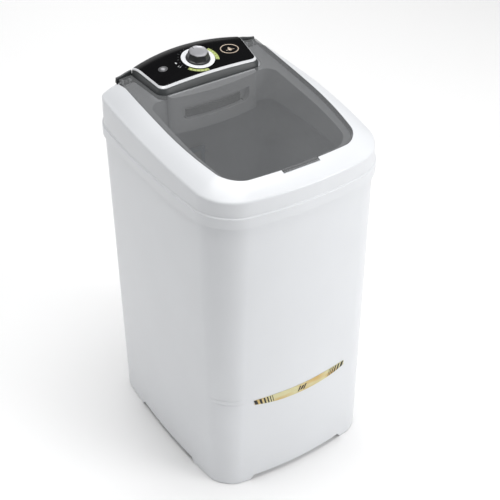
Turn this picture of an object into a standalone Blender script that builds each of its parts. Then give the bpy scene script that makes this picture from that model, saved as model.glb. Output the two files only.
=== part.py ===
"""Top-loading tub washing machine.

A tapered one-piece cabinet carries a deep wash tub by its rim. A sloping top cover frames the tub's mouth, and
holds a see-through lid, a timer console with a knob, and a soap dispenser. Under the tub, a motor turns the
agitator through a belt and two pulleys. The origin is at the centre of the footprint, on the floor; the front
faces -Y.
"""

import math
from collections import namedtuple

import bmesh
import bpy
from mathutils import Matrix, Vector

# ---------------------------------------------------------------- driving dimensions, in metres

CLEAR = 0.0003                    # between pieces that touch
WALL = 0.003                      # moulded plastic

COVER_HALF_WIDTH = 0.276
COVER_HALF_DEPTH = 0.341
COVER_CORNER = 0.092
SKIRT_BOTTOM = 0.889
LEDGE_Z = 0.9205                  # the step round the skirt
LEDGE_STEP = 0.0035
SHOULDER_FRONT_Z = 0.9635         # the cover's outer edge, at the front
SHOULDER_RISE = 0.0375            # how far it rises towards the back
SHOULDER_FALL = 0.034             # how far it falls again at the back's corners

LID_HALF_WIDTH = 0.2168
LID_FRONT = -0.283
LID_BACK = 0.2405
LID_CORNER = 0.055
LID_GAP = 0.0015
LID_MID_Z = 1.0205                # the lid's top at y = 0
LID_SLOPE = 0.11
LID_THICK = 0.003
LID_RIM = 0.013
LID_OPEN_GAP = 0.0045             # round the console's foot
RECESS_DEPTH = 0.017
RECESS_BACK = 0.245
REAR_DROP = 0.0135                # of the recess's edge behind the hinges
TAB_HALF_WIDTH = 0.052
TAB_REACH = 0.0095

MOUTH_HALF_WIDTH = 0.192
MOUTH_FRONT = -0.2625
MOUTH_BACK = 0.118
MOUTH_LIP_Z = 0.925

HINGE_X = 0.192                   # middle of each knuckle
HINGE_Y = 0.227
HINGE_DROP = 0.0078               # axis below the lid's top
KNUCKLE_LENGTH = 0.014
KNUCKLE_RADIUS = 0.0058
HINGE_PIN_RADIUS = 0.0022
EAR_THICK = 0.004
EAR_ROOM_CUT = 0.0003         # how far the room for the ears runs into the lid's plate
EAR_RADIUS = 0.0042

CABINET_TOP = 0.9107
CABINET_BOTTOM = 0.0015
BASE_HALF_WIDTH = 0.2602
BASE_FRONT = -0.3176
BASE_BACK = 0.281
BASE_CORNER = 0.061
RIM_HALF_WIDTH = 0.2686
RIM_FRONT = -0.334
RIM_BACK = 0.313
RIM_CORNER = 0.088
ARCH_HEIGHT = 0.0165              # of the cut-outs between the feet
ARCH_SLANT = 0.013
FRONT_ARCH_HALF = 0.145
SIDE_ARCH_FRONT = -0.150
SIDE_ARCH_BACK = 0.120

TUB_FLOOR = 0.315
TUB_FLOOR_THICK = 0.004
TUB_RIM_HALF_WIDTH = 0.240
TUB_RIM_FRONT = -0.308
TUB_RIM_BACK = 0.286
TUB_FLOOR_HALF_WIDTH = 0.222
TUB_FLOOR_FRONT = -0.272
TUB_FLOOR_BACK = 0.248
TUB_CORNER = 0.10
FLANGE_INSET = 0.0045             # of the tub's flange from the cover's outside

CONSOLE_FRONT = 0.1195
CONSOLE_BACK = 0.265
CONSOLE_BACK_BOW = 0.022
CONSOLE_FOOT_BACK = 0.2385
CONSOLE_HALF_FRONT = 0.1500
CONSOLE_HALF_BACK = 0.1645
CONSOLE_CORNER = 0.018
CONSOLE_FLARE = 0.006             # the foot's spread beyond the top
CONSOLE_ROWS = (0.3, 0.6, 0.76, 0.88)
CONSOLE_EDGE_Z = 1.029            # side edge of the panel, carried on to y = 0
CONSOLE_TILT = 0.16
CONSOLE_ARCH = 0.008
CONSOLE_ROLL = 0.010              # the panel's fall at its back edge
CONSOLE_ROLL_DEPTH = 0.035
PANEL_THICK = 0.006
TRIM_DROP = 0.004                 # the trim slopes down outwards
TRIM_FRONT = 0.007                # width of the bright trim, along the front
TRIM_SIDE = 0.004
TRIM_BACK = 0.002
PANEL_LEDGE = 0.010

KNOB_Y = 0.182
KNOB_RADIUS = 0.032
KNOB_TOP_RADIUS = 0.0265
KNOB_HEIGHT = 0.0210
KNOB_CAP_RADIUS = 0.0255
KNOB_CAP_THICK = 0.002
DIAL_INNER = 0.033
DIAL_OUTER = 0.045
TIMER_SHAFT_RADIUS = 0.003
TIMER_SIZE = 0.058
TIMER_DEPTH = 0.024

DISPENSER_HALF_WIDTH = 0.132
DISPENSER_FRONT = 0.086
DISPENSER_BACK = 0.142
DISPENSER_BOTTOM = 0.918
DISPENSER_SHELF = 0.9525
SLOT_HALF_WIDTH = 0.1035
SLOT_TOP = 0.9925
TRAY_HALF_WIDTH = 0.085
TRAY_HEIGHT = 0.022
TRAY_WALL = 0.002

SHAFT_RADIUS = 0.006
SHAFT_TOP = TUB_FLOOR + 0.032
SHAFT_BOTTOM = TUB_FLOOR - 0.0835
BEARING_OUTER = 0.016
BEARING_HEIGHT = 0.010
HOUSING_RADIUS = 0.021
HOUSING_FLANGE = 0.055
HOUSING_BOTTOM = TUB_FLOOR - 0.043
AGITATOR_RADIUS = 0.165
AGITATOR_LIFT = 0.0035            # above the tub's floor
AGITATOR_HUB_TOP = TUB_FLOOR + 0.057
VANE_COUNT = 4
VANE_TOP = TUB_FLOOR + 0.060

BELT_Z = TUB_FLOOR - 0.061
BELT_HEIGHT = 0.010
BELT_THICK = 0.005
DRIVEN_RADIUS = 0.100             # belt seat of the big pulley
MOTOR_PULLEY_RADIUS = 0.0225
MOTOR_Y = 0.172
MOTOR_RADIUS = 0.062
MOTOR_TOP = TUB_FLOOR - 0.087
MOTOR_HEIGHT = 0.104
ROTOR_RADIUS = 0.034
BRACKET_HALF_WIDTH = 0.085
BRACKET_THICK = 0.003

BOTTOM_PANEL_Z = 0.021
FOOT_RADIUS = 0.018
FOOT_X = 0.208
FOOT_FRONT_Y = -0.262
FOOT_BACK_Y = 0.226

ACCESS_HALF_WIDTH = 0.110
ACCESS_LOW = 0.105
ACCESS_HIGH = 0.235
ACCESS_LAP = 0.012
SCREW_SHANK = 0.0018
OUTLET_X = 0.150
OUTLET_Z = 0.075
OUTLET_RADIUS = 0.0155
GLAND_X = -0.150
GLAND_RADIUS = 0.011

FILTER_HALF_WIDTH = 0.060
FILTER_LOW = 0.560
FILTER_HIGH = 0.740
FILTER_THICK = 0.012

BADGE_HALF_WIDTH = 0.1475
BADGE_MID_Z = 0.290
BADGE_HEIGHT = 0.028
BADGE_SMILE = 0.010               # how far its ends rise
BADGE_THICK = 0.001

ROUND_STEPS = 24
CORNER_STEPS = 7
SIDE_STEPS = 6
UP = Vector((0, 0, 1))

# ---------------------------------------------------------------- outlines

Outline = namedtuple("Outline", "half_width front back corners side_bows end_bows")

COVER = Outline(COVER_HALF_WIDTH, -COVER_HALF_DEPTH, COVER_HALF_DEPTH, (COVER_CORNER, COVER_CORNER),
                (0.022, 0.022), (0.033, 0.033))
LID = Outline(LID_HALF_WIDTH, LID_FRONT, LID_BACK, (LID_CORNER, 0.006), (0.030, 0.005), (0.012, 0.0115))
RECESS = Outline(LID_HALF_WIDTH + LID_GAP, LID_FRONT - LID_GAP, RECESS_BACK, (LID_CORNER, 0.010),
                 (0.030, 0.005), (0.012, 0.0115))
MOUTH = Outline(MOUTH_HALF_WIDTH, MOUTH_FRONT, MOUTH_BACK, (0.050, 0.030), (0.020, 0.004), (0.010, 0.0))
BASE = Outline(BASE_HALF_WIDTH, BASE_FRONT, BASE_BACK, (BASE_CORNER, BASE_CORNER), (0.020, 0.020), (0.030, 0.0))
RIM = Outline(RIM_HALF_WIDTH, RIM_FRONT, RIM_BACK, (RIM_CORNER, RIM_CORNER), (0.021, 0.021), (0.032, 0.0))
TUB_RIM = Outline(TUB_RIM_HALF_WIDTH, TUB_RIM_FRONT, TUB_RIM_BACK, (TUB_CORNER, TUB_CORNER),
                  (0.015, 0.008), (0.025, 0.0))
TUB_BED = Outline(TUB_FLOOR_HALF_WIDTH, TUB_FLOOR_FRONT, TUB_FLOOR_BACK, (TUB_CORNER, TUB_CORNER),
                  (0.015, 0.008), (0.020, 0.0))
DISPENSER = Outline(DISPENSER_HALF_WIDTH, DISPENSER_FRONT, DISPENSER_BACK, (0.012, 0.004), (0.0, 0.0),
                    (0.014, 0.0))
TRAY = Outline(TRAY_HALF_WIDTH, DISPENSER_FRONT + 0.012, DISPENSER_BACK - 0.005, (0.010, 0.006), (0.0, 0.0),
               (0.008, 0.0))


def plan(shape, grow=0.0):
    """Points round a rectangle with round corners and bowed sides, counter-clockwise from the right side."""
    half = shape.half_width + grow
    front = shape.front - grow
    back = shape.back + grow
    middle = (front + back) / 2
    reach = (back - front) / 2
    arcs = []
    for turn, (side_x, side_y) in enumerate(((1, 1), (-1, 1), (-1, -1), (1, -1))):
        radius = max(shape.corners[1 if side_y > 0 else 0] + grow, 0.001)
        centre = Vector((side_x * (half - radius), middle + side_y * (reach - radius)))
        angles = [math.radians(90 * turn + 90 * step / CORNER_STEPS) for step in range(CORNER_STEPS + 1)]
        arcs.append([centre + radius * Vector((math.cos(a), math.sin(a))) for a in angles])
    points = []
    for arc, following in zip(arcs, arcs[1:] + arcs[:1]):
        points += arc
        points += [arc[-1].lerp(following[0], step / SIDE_STEPS) for step in range(1, SIDE_STEPS)]
    bowed = []
    for x, y in points:
        across = x / half
        along = (y - middle) / reach
        side_bow = shape.side_bows[1 if along > 0 else 0]
        end_bow = shape.end_bows[1 if along > 0 else 0]
        bowed.append(Vector((x - across * side_bow * along ** 2, y - along * end_bow * across ** 2)))
    return bowed


def between(low, high, share):
    """The outline a share of the way from one to the other."""
    def mix(a, b):
        return a + (b - a) * share
    return Outline(mix(low.half_width, high.half_width), mix(low.front, high.front), mix(low.back, high.back),
                   tuple(map(mix, low.corners, high.corners)), tuple(map(mix, low.side_bows, high.side_bows)),
                   tuple(map(mix, low.end_bows, high.end_bows)))


def cabinet_outline(z):
    return between(BASE, RIM, z / CABINET_TOP)


def tub_outline(z):
    return between(TUB_BED, TUB_RIM, (z - TUB_FLOOR) / (CABINET_TOP - TUB_FLOOR))


def lid_z(y):
    return LID_MID_Z + LID_SLOPE * y


def recess_z(y):
    return lid_z(y) - RECESS_DEPTH


def shoulder_z(x, y):
    """The cover's outer edge: level at the front, a rise that slows down, then a fall round the back."""
    share = (y + COVER_HALF_DEPTH) / (2 * COVER_HALF_DEPTH)
    rise = SHOULDER_RISE * math.sin(math.pi / 2 * max(0.0, (share - 0.09) / 0.8))
    behind = min(1.0, max(0.0, (share - 0.867) / 0.11))
    fall = SHOULDER_FALL * behind ** 1.5 * (0.25 + 0.75 * (x / (0.74 * COVER_HALF_WIDTH)) ** 2)
    return SHOULDER_FRONT_Z + rise - fall


def rim_edge_z(x, y):
    """The recess's upper edge: level with the lid, and lower behind the hinges."""
    behind = (y - HINGE_Y + 0.022) / 0.025
    return lid_z(y) - REAR_DROP * min(1.0, max(0.0, behind))


def panel_z(x, y):
    """The control panel's upper face: tilted, arched from side to side, and rolled down along its back."""
    across = x / CONSOLE_HALF_BACK
    back = CONSOLE_BACK - CONSOLE_BACK_BOW * across ** 2
    past = max(0.0, (y - back) / CONSOLE_ROLL_DEPTH + 1)
    return CONSOLE_EDGE_Z + CONSOLE_TILT * y + CONSOLE_ARCH * (1 - across ** 2) - CONSOLE_ROLL * past ** 2


def lifted(points, height):
    """The flat points raised to height, which is a number or a function of x and y."""
    if callable(height):
        return [Vector((x, y, height(x, y))) for x, y in points]
    return [Vector((x, y, height)) for x, y in points]


# ---------------------------------------------------------------- materials

def material(name, colour, roughness, metallic=0.0):
    made = bpy.data.materials.new(name)
    made.use_nodes = True
    shader = made.node_tree.nodes["Principled BSDF"]
    shader.inputs["Base Color"].default_value = (*colour, 1.0)
    shader.inputs["Roughness"].default_value = roughness
    shader.inputs["Metallic"].default_value = metallic
    return made


def make_materials():
    return {
        "white": material("white_plastic", (0.86, 0.87, 0.89), 0.35),
        "inner": material("inner_plastic", (0.80, 0.81, 0.83), 0.45),
        "smoke": material("smoked_lid", (0.10, 0.105, 0.11), 0.18),
        "dark": material("dark_plastic", (0.06, 0.065, 0.07), 0.4),
        "panel": material("black_gloss", (0.004, 0.004, 0.005), 0.12),
        "trim": material("bright_trim", (0.75, 0.76, 0.78), 0.25, 0.7),
        "knob": material("knob_grey", (0.03, 0.03, 0.035), 0.35),
        "silver": material("satin_silver", (0.55, 0.55, 0.57), 0.35, 0.8),
        "steel": material("zinc_steel", (0.50, 0.51, 0.52), 0.4, 0.9),
        "rubber": material("black_rubber", (0.02, 0.02, 0.02), 0.8),
        "gold": material("gold_foil", (0.70, 0.50, 0.17), 0.4, 0.3),
        "motor": material("motor_lacquer", (0.12, 0.13, 0.15), 0.5),
        "blue": material("agitator_blue", (0.30, 0.42, 0.55), 0.4),
        "mesh": material("filter_mesh", (0.55, 0.60, 0.65), 0.6),
    }


# ---------------------------------------------------------------- making solids

def place(name, mesh_data, finish, parent=None):
    """An object for the finished bmesh, with its faces pointing out and shaded smooth up to 35 degrees."""
    bmesh.ops.recalc_face_normals(mesh_data, faces=mesh_data.faces)
    if mesh_data.calc_volume(signed=True) < 0:
        bmesh.ops.reverse_faces(mesh_data, faces=mesh_data.faces)
    mesh = bpy.data.meshes.new(name)
    mesh_data.to_mesh(mesh)
    mesh_data.free()
    mesh.shade_smooth()
    mesh.set_sharp_from_angle(angle=math.radians(35))
    mesh.materials.append(finish)
    made = bpy.data.objects.new(name, mesh)
    bpy.context.scene.collection.objects.link(made)
    if parent:
        made.parent = parent
    return made


def lofted(rings, closed=False):
    """A bmesh of quads from ring to ring. Closed joins the last ring to the first, else both ends get a cap."""
    made = bmesh.new()
    rows = [[made.verts.new(point) for point in ring] for ring in rings]
    pairs = list(zip(rows, rows[1:]))
    if closed:
        pairs.append((rows[-1], rows[0]))
    for near, far in pairs:
        count = len(near)
        for i in range(count):
            following = (i + 1) % count
            made.faces.new((near[i], near[following], far[following], far[i]))
    if not closed:
        made.faces.new(rows[0])
        made.faces.new(rows[-1])
    return made


def turned(profile, closed=False, steps=ROUND_STEPS):
    """A bmesh spun round Z from (radius, height) points. An open profile starts and ends on the axis."""
    made = bmesh.new()
    points = [made.verts.new((radius, 0, z)) for radius, z in profile]
    pairs = list(zip(points, points[1:]))
    if closed:
        pairs.append((points[-1], points[0]))
    edges = [made.edges.new(pair) for pair in pairs]
    bmesh.ops.spin(made, geom=points + edges, cent=(0, 0, 0), axis=(0, 0, 1), angle=math.tau, steps=steps,
                   use_merge=True, use_duplicate=False)
    bmesh.ops.remove_doubles(made, verts=made.verts, dist=1e-6)
    return made


def sleeve(inner, outer, low, high):
    """The profile of a plain ring."""
    return [(inner, low), (outer, low), (outer, high), (inner, high)]


def rod(radius, low, high):
    """The profile of a plain rod."""
    return [(0, low), (radius, low), (radius, high), (0, high)]


def block(x_span, y_span, z_span):
    """A bmesh box. Each end of z_span is a number, or a function of x and y; so is each end of y_span, of z."""
    made = bmesh.new()
    corners = {}
    for i in (0, 1):
        for j in (0, 1):
            for k in (0, 1):
                x = x_span[i]
                z = z_span[k]
                y = y_span[j](z) if callable(y_span[j]) else y_span[j]
                z = z(x, y) if callable(z) else z
                corners[i, j, k] = made.verts.new((x, y, z))
    for axis in range(3):
        for end in (0, 1):
            loop = []
            for a, b in ((0, 0), (1, 0), (1, 1), (0, 1)):
                key = [a, b]
                key.insert(axis, end)
                loop.append(corners[tuple(key)])
            made.faces.new(loop)
    bmesh.ops.recalc_face_normals(made, faces=made.faces)
    return made


def cutter(name, mesh_data):
    """A hidden helper for a Boolean."""
    made = place(name, mesh_data, None)
    made.hide_render = True
    made.display_type = "WIRE"
    return made


def combine(target, operation, helper):
    step = target.modifiers.new(f"{operation.lower()}_{helper.name}", "BOOLEAN")
    step.operation = operation
    step.object = helper
    step.solver = "EXACT"


def lay_along_x(made, x, y, z):
    """Turns a bmesh made along Z so that it runs along X, and moves it to a place."""
    bmesh.ops.transform(made, verts=made.verts,
                        matrix=Matrix.Translation((x, y, z)) @ Matrix.Rotation(math.radians(90), 4, "Y"))
    return made


def lay_along_y(made, x, y, z):
    """Turns a bmesh made along Z so that it runs to +Y, and moves it to a place."""
    bmesh.ops.transform(made, verts=made.verts,
                        matrix=Matrix.Translation((x, y, z)) @ Matrix.Rotation(math.radians(-90), 4, "X"))
    return made


def moved(made, x, y, z=0.0):
    bmesh.ops.translate(made, verts=made.verts, vec=(x, y, z))
    return made


# ---------------------------------------------------------------- cabinet and its base

def back_wall_y(z):
    """The outside of the cabinet's back."""
    return cabinet_outline(z).back


def make_cabinet(finish):
    def ring(z, grow):
        return lifted(plan(cabinet_outline(z), grow), z)
    rings = [ring(CABINET_BOTTOM, 0), ring(CABINET_TOP, 0), ring(CABINET_TOP, -WALL), ring(CABINET_BOTTOM, -WALL)]
    cabinet = place("cabinet", lofted(rings, closed=True), finish["white"])
    combine(cabinet, "DIFFERENCE", arch_cutter("front_arch", -FRONT_ARCH_HALF, FRONT_ARCH_HALF, True))
    combine(cabinet, "DIFFERENCE", arch_cutter("side_arch", SIDE_ARCH_FRONT, SIDE_ARCH_BACK, False))
    low = ACCESS_LOW
    high = ACCESS_HIGH
    window = block((-ACCESS_HALF_WIDTH, ACCESS_HALF_WIDTH), (0.24, 0.33), (low, high))
    combine(cabinet, "DIFFERENCE", cutter("access_window", window))
    for name, x, radius in (("outlet_hole", OUTLET_X, OUTLET_RADIUS + CLEAR),
                            ("gland_hole", GLAND_X, GLAND_RADIUS + CLEAR)):
        hole = lay_along_y(turned(rod(radius, -0.03, 0.03)), x, back_wall_y(OUTLET_Z), OUTLET_Z)
        combine(cabinet, "DIFFERENCE", cutter(name, hole))
    combine(cabinet, "DIFFERENCE", screw_holes("cabinet_screw_holes"))


def arch_cutter(name, low, high, across_y):
    """A long prism whose section is the cut-out between two feet, wider at the floor."""
    below = -0.01
    spread = ARCH_SLANT * (ARCH_HEIGHT - below) / ARCH_HEIGHT
    section = [(low - spread, below), (high + spread, below), (high, ARCH_HEIGHT), (low, ARCH_HEIGHT)]
    if across_y:
        rings = [[Vector((a, y, z)) for a, z in section] for y in (-0.45, 0.45)]
    else:
        rings = [[Vector((x, a, z)) for a, z in section] for x in (-0.45, 0.45)]
    return cutter(name, lofted(rings))


def screw_places():
    """The four corners of the access cover, half a lap outside its window."""
    reach = ACCESS_HALF_WIDTH + ACCESS_LAP / 2
    return [(side, x, z) for z in (ACCESS_LOW - ACCESS_LAP / 2, ACCESS_HIGH + ACCESS_LAP / 2)
            for side, x in (("left", -reach), ("right", reach))]


def screw_holes(name):
    made = bmesh.new()
    for _, x, z in screw_places():
        hole = lay_along_y(turned(rod(SCREW_SHANK + CLEAR, -0.02, 0.02), steps=12), x, back_wall_y(z), z)
        mesh = bpy.data.meshes.new("hole")
        hole.to_mesh(mesh)
        hole.free()
        made.from_mesh(mesh)
        bpy.data.meshes.remove(mesh)
    return cutter(name, made)


def make_access_cover(finish):
    def outside(gap):
        return lambda z: back_wall_y(z) + gap
    thick = 0.0025
    half = ACCESS_HALF_WIDTH + ACCESS_LAP
    body = block((-half, half), (outside(CLEAR), outside(CLEAR + thick)),
                 (ACCESS_LOW - ACCESS_LAP, ACCESS_HIGH + ACCESS_LAP))
    cover = place("access_cover", body, finish["white"])
    combine(cover, "DIFFERENCE", screw_holes("cover_screw_holes"))
    for number, (_, x, z) in enumerate(screw_places(), 1):
        profile = [(0, -0.010), (SCREW_SHANK, -0.010), (SCREW_SHANK, 0.0006), (0.0045, 0.0006), (0.0040, 0.0022),
                   (0.0022, 0.0030), (0, 0.0030)]
        screw = lay_along_y(turned(profile, steps=12), x, outside(CLEAR + thick)(z), z)
        place(f"access_screw_{number}", screw, finish["steel"])


def make_bottom_panel(finish):
    rings = []
    for z in (BOTTOM_PANEL_Z, BOTTOM_PANEL_Z + WALL):
        rings.append(lifted(plan(cabinet_outline(BOTTOM_PANEL_Z), -WALL - 0.0008), z))
    panel = place("bottom_panel", lofted(rings), finish["inner"])
    for row in range(5):
        y = -0.19 + 0.045 * row
        slot = block((-0.09, 0.09), (y - 0.006, y + 0.006), (0.0, 0.06))
        combine(panel, "DIFFERENCE", cutter(f"vent_slot_{row}", slot))
    for end, y in (("front", FOOT_FRONT_Y), ("rear", FOOT_BACK_Y)):
        for side, x in (("left", -FOOT_X), ("right", FOOT_X)):
            top = BOTTOM_PANEL_Z - CLEAR
            profile = [(0, 0), (FOOT_RADIUS - 0.002, 0), (FOOT_RADIUS, 0.002), (FOOT_RADIUS, 0.012),
                       (FOOT_RADIUS - 0.004, top), (0, top)]
            place(f"foot_{end}_{side}", moved(turned(profile), x, y), finish["rubber"])


def make_front_badge(finish):
    """A thin foil strip bent to the front wall, its ends higher than its middle."""
    columns = 16
    rings = []
    for column in range(columns + 1):
        x = BADGE_HALF_WIDTH * (2 * column / columns - 1)
        share = abs(x) / BADGE_HALF_WIDTH
        middle = BADGE_MID_Z + BADGE_SMILE * share ** 2
        half = BADGE_HEIGHT / 2 * (1 - 0.45 * share ** 3)
        ring = []
        for z, gap in ((middle - half, CLEAR), (middle + half, CLEAR), (middle + half, CLEAR + BADGE_THICK),
                       (middle - half, CLEAR + BADGE_THICK)):
            ring.append(Vector((x, front_wall_y(x, z) - gap, z)))
        rings.append(ring)
    place("front_badge", lofted(rings), finish["gold"])


def front_wall_y(x, z):
    """The outside of the cabinet's front, read from its outline."""
    shape = cabinet_outline(z)
    points = [p for p in plan(shape) if p.y < (shape.front + shape.back) / 2]
    points.sort(key=lambda p: p.x)
    for left, right in zip(points, points[1:]):
        if left.x <= x <= right.x and right.x > left.x:
            return left.y + (right.y - left.y) * (x - left.x) / (right.x - left.x)
    return shape.front


def make_rear_fittings(finish):
    """The drain outlet and the supply cord's gland, both through the back wall."""
    y = back_wall_y(OUTLET_Z)
    flange = [(0.0105, -0.022), (OUTLET_RADIUS, -0.022), (OUTLET_RADIUS, 0.0012), (0.021, 0.0012),
              (0.021, 0.0042), (0.014, 0.0042), (0.014, 0.012), (0.0155, 0.014), (0.0135, 0.026), (0.0105, 0.026)]
    place("drain_outlet", lay_along_y(turned(flange, closed=True), OUTLET_X, y, OUTLET_Z), finish["inner"])
    bush = [(0.004, -0.010), (GLAND_RADIUS, -0.010), (GLAND_RADIUS, 0.0012), (0.015, 0.0012), (0.015, 0.004),
            (0.009, 0.006), (0.006, 0.022), (0.004, 0.022)]
    place("cord_gland", lay_along_y(turned(bush, closed=True), GLAND_X, y, OUTLET_Z), finish["rubber"])


# ---------------------------------------------------------------- tub, drain and lint filter

DRAIN_X = 0.150
DRAIN_Y = 0.130
DRAIN_RADIUS = 0.016


def make_tub(finish):
    floor = TUB_FLOOR
    rim = CABINET_TOP + CLEAR
    foot = 0.030
    rings = [
        lifted(plan(TUB_BED, -foot), floor - TUB_FLOOR_THICK),
        lifted(plan(TUB_BED, -foot / 3), floor + 0.006),
        lifted(plan(TUB_BED), floor + foot),
        lifted(plan(TUB_RIM), rim),
        lifted(plan(COVER, -FLANGE_INSET), rim),
        lifted(plan(COVER, -FLANGE_INSET), rim + WALL),
        lifted(plan(TUB_RIM, -WALL), rim + WALL),
        lifted(plan(TUB_BED, -WALL), floor + foot),
        lifted(plan(TUB_BED, -foot / 3 - WALL), floor + 0.009),
        lifted(plan(TUB_BED, -foot - WALL), floor),
    ]
    tub = place("tub", lofted(rings), finish["inner"])
    hub = cutter("hub_hole", turned(rod(BEARING_OUTER + 0.0015, floor - 0.025, floor + 0.015)))
    drain = cutter("drain_hole", moved(turned(rod(DRAIN_RADIUS + CLEAR, floor - 0.025, floor + 0.025)), DRAIN_X, DRAIN_Y))
    combine(tub, "DIFFERENCE", hub)
    combine(tub, "DIFFERENCE", drain)


def make_drain(finish):
    """A strainer in the tub's floor, an elbow under it, and the hose from there to the outlet."""
    under = TUB_FLOOR - TUB_FLOOR_THICK
    strainer = [(0.003, under + 0.001), (DRAIN_RADIUS, under + 0.001), (DRAIN_RADIUS, TUB_FLOOR + CLEAR),
                (0.022, TUB_FLOOR + CLEAR), (0.020, TUB_FLOOR + 0.003), (0.003, TUB_FLOOR + 0.004)]
    place("drain_strainer", moved(turned(strainer, closed=True), DRAIN_X, DRAIN_Y), finish["steel"])
    cup = [(0.010, under - 0.034), (0.0135, under - 0.034), (0.0135, under - 0.016), (0.024, under - 0.010),
           (0.024, under - CLEAR), (0.0165, under - CLEAR), (0.0165, under - 0.008), (0.010, under - 0.014)]
    place("drain_cup", moved(turned(cup, closed=True), DRAIN_X, DRAIN_Y), finish["inner"])
    start = Vector((DRAIN_X, DRAIN_Y, under - 0.036))
    end = Vector((OUTLET_X, back_wall_y(OUTLET_Z) - 0.0245, OUTLET_Z))
    make_hose("drain_hose", start, Vector((0, 0, -0.20)), end, Vector((0, 0.16, 0)), 0.0130, finish["rubber"])


def make_hose(name, start, leaving, end, arriving, radius, finish):
    """A tube along a smooth curve that leaves and arrives in the given directions."""
    count = 16
    curve = bpy.data.curves.new(name, "CURVE")
    curve.dimensions = "3D"
    curve.bevel_depth = radius
    curve.bevel_resolution = 3
    curve.use_fill_caps = True
    spline = curve.splines.new("POLY")
    spline.points.add(count)
    for i in range(count + 1):
        t = i / count
        place_on_route = ((2 * t ** 3 - 3 * t ** 2 + 1) * start + (t ** 3 - 2 * t ** 2 + t) * leaving
                          + (-2 * t ** 3 + 3 * t ** 2) * end + (t ** 3 - t ** 2) * arriving)
        spline.points[i].co = (*place_on_route, 1.0)
    hose = bpy.data.objects.new(name, curve)
    curve.materials.append(finish)
    bpy.context.scene.collection.objects.link(hose)


def tub_back_y(z):
    """The inside of the tub's back wall."""
    return between(TUB_BED, TUB_RIM, (z - TUB_FLOOR - 0.03) / (CABINET_TOP - TUB_FLOOR - 0.03)).back - WALL


def make_lint_filter(finish):
    """A frame with a mesh sheet, held between two rails on the tub's back wall, that lifts out."""
    def inside(gap):
        return lambda z: tub_back_y(z) - gap
    near = 0.004
    far = near + FILTER_THICK
    body = block((-FILTER_HALF_WIDTH, FILTER_HALF_WIDTH), (inside(far), inside(near)), (FILTER_LOW, FILTER_HIGH))
    frame = place("lint_filter_frame", body, finish["blue"])
    bar = 0.012
    window = block((-FILTER_HALF_WIDTH + bar, FILTER_HALF_WIDTH - bar), (inside(0.05), inside(-0.02)),
                   (FILTER_LOW + bar, FILTER_HIGH - bar))
    combine(frame, "DIFFERENCE", cutter("filter_window", window))
    middle = near + FILTER_THICK / 2
    sheet = block((-FILTER_HALF_WIDTH + bar + CLEAR, FILTER_HALF_WIDTH - bar - CLEAR),
                  (inside(middle + 0.0006), inside(middle - 0.0006)),
                  (FILTER_LOW + bar + CLEAR, FILTER_HIGH - bar - CLEAR))
    place("lint_filter_mesh", sheet, finish["mesh"])
    for side, sign in (("left", -1), ("right", 1)):
        inner = FILTER_HALF_WIDTH + 0.001
        edges = sorted((sign * inner, sign * (inner + 0.007)))
        rail = block(edges, (inside(far + 0.004), inside(CLEAR)), (FILTER_LOW - 0.01, FILTER_HIGH - 0.02))
        rail = place(f"filter_rail_{side}", rail, finish["inner"])
        edges = sorted((sign * (inner - 0.006), sign * (inner + 0.004)))
        lip = block(edges, (inside(far + 0.004), inside(far + 0.001)), (FILTER_LOW - 0.01, FILTER_HIGH - 0.02))
        combine(rail, "UNION", cutter(f"filter_lip_{side}", lip))


# ---------------------------------------------------------------- top cover and lid

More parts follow.
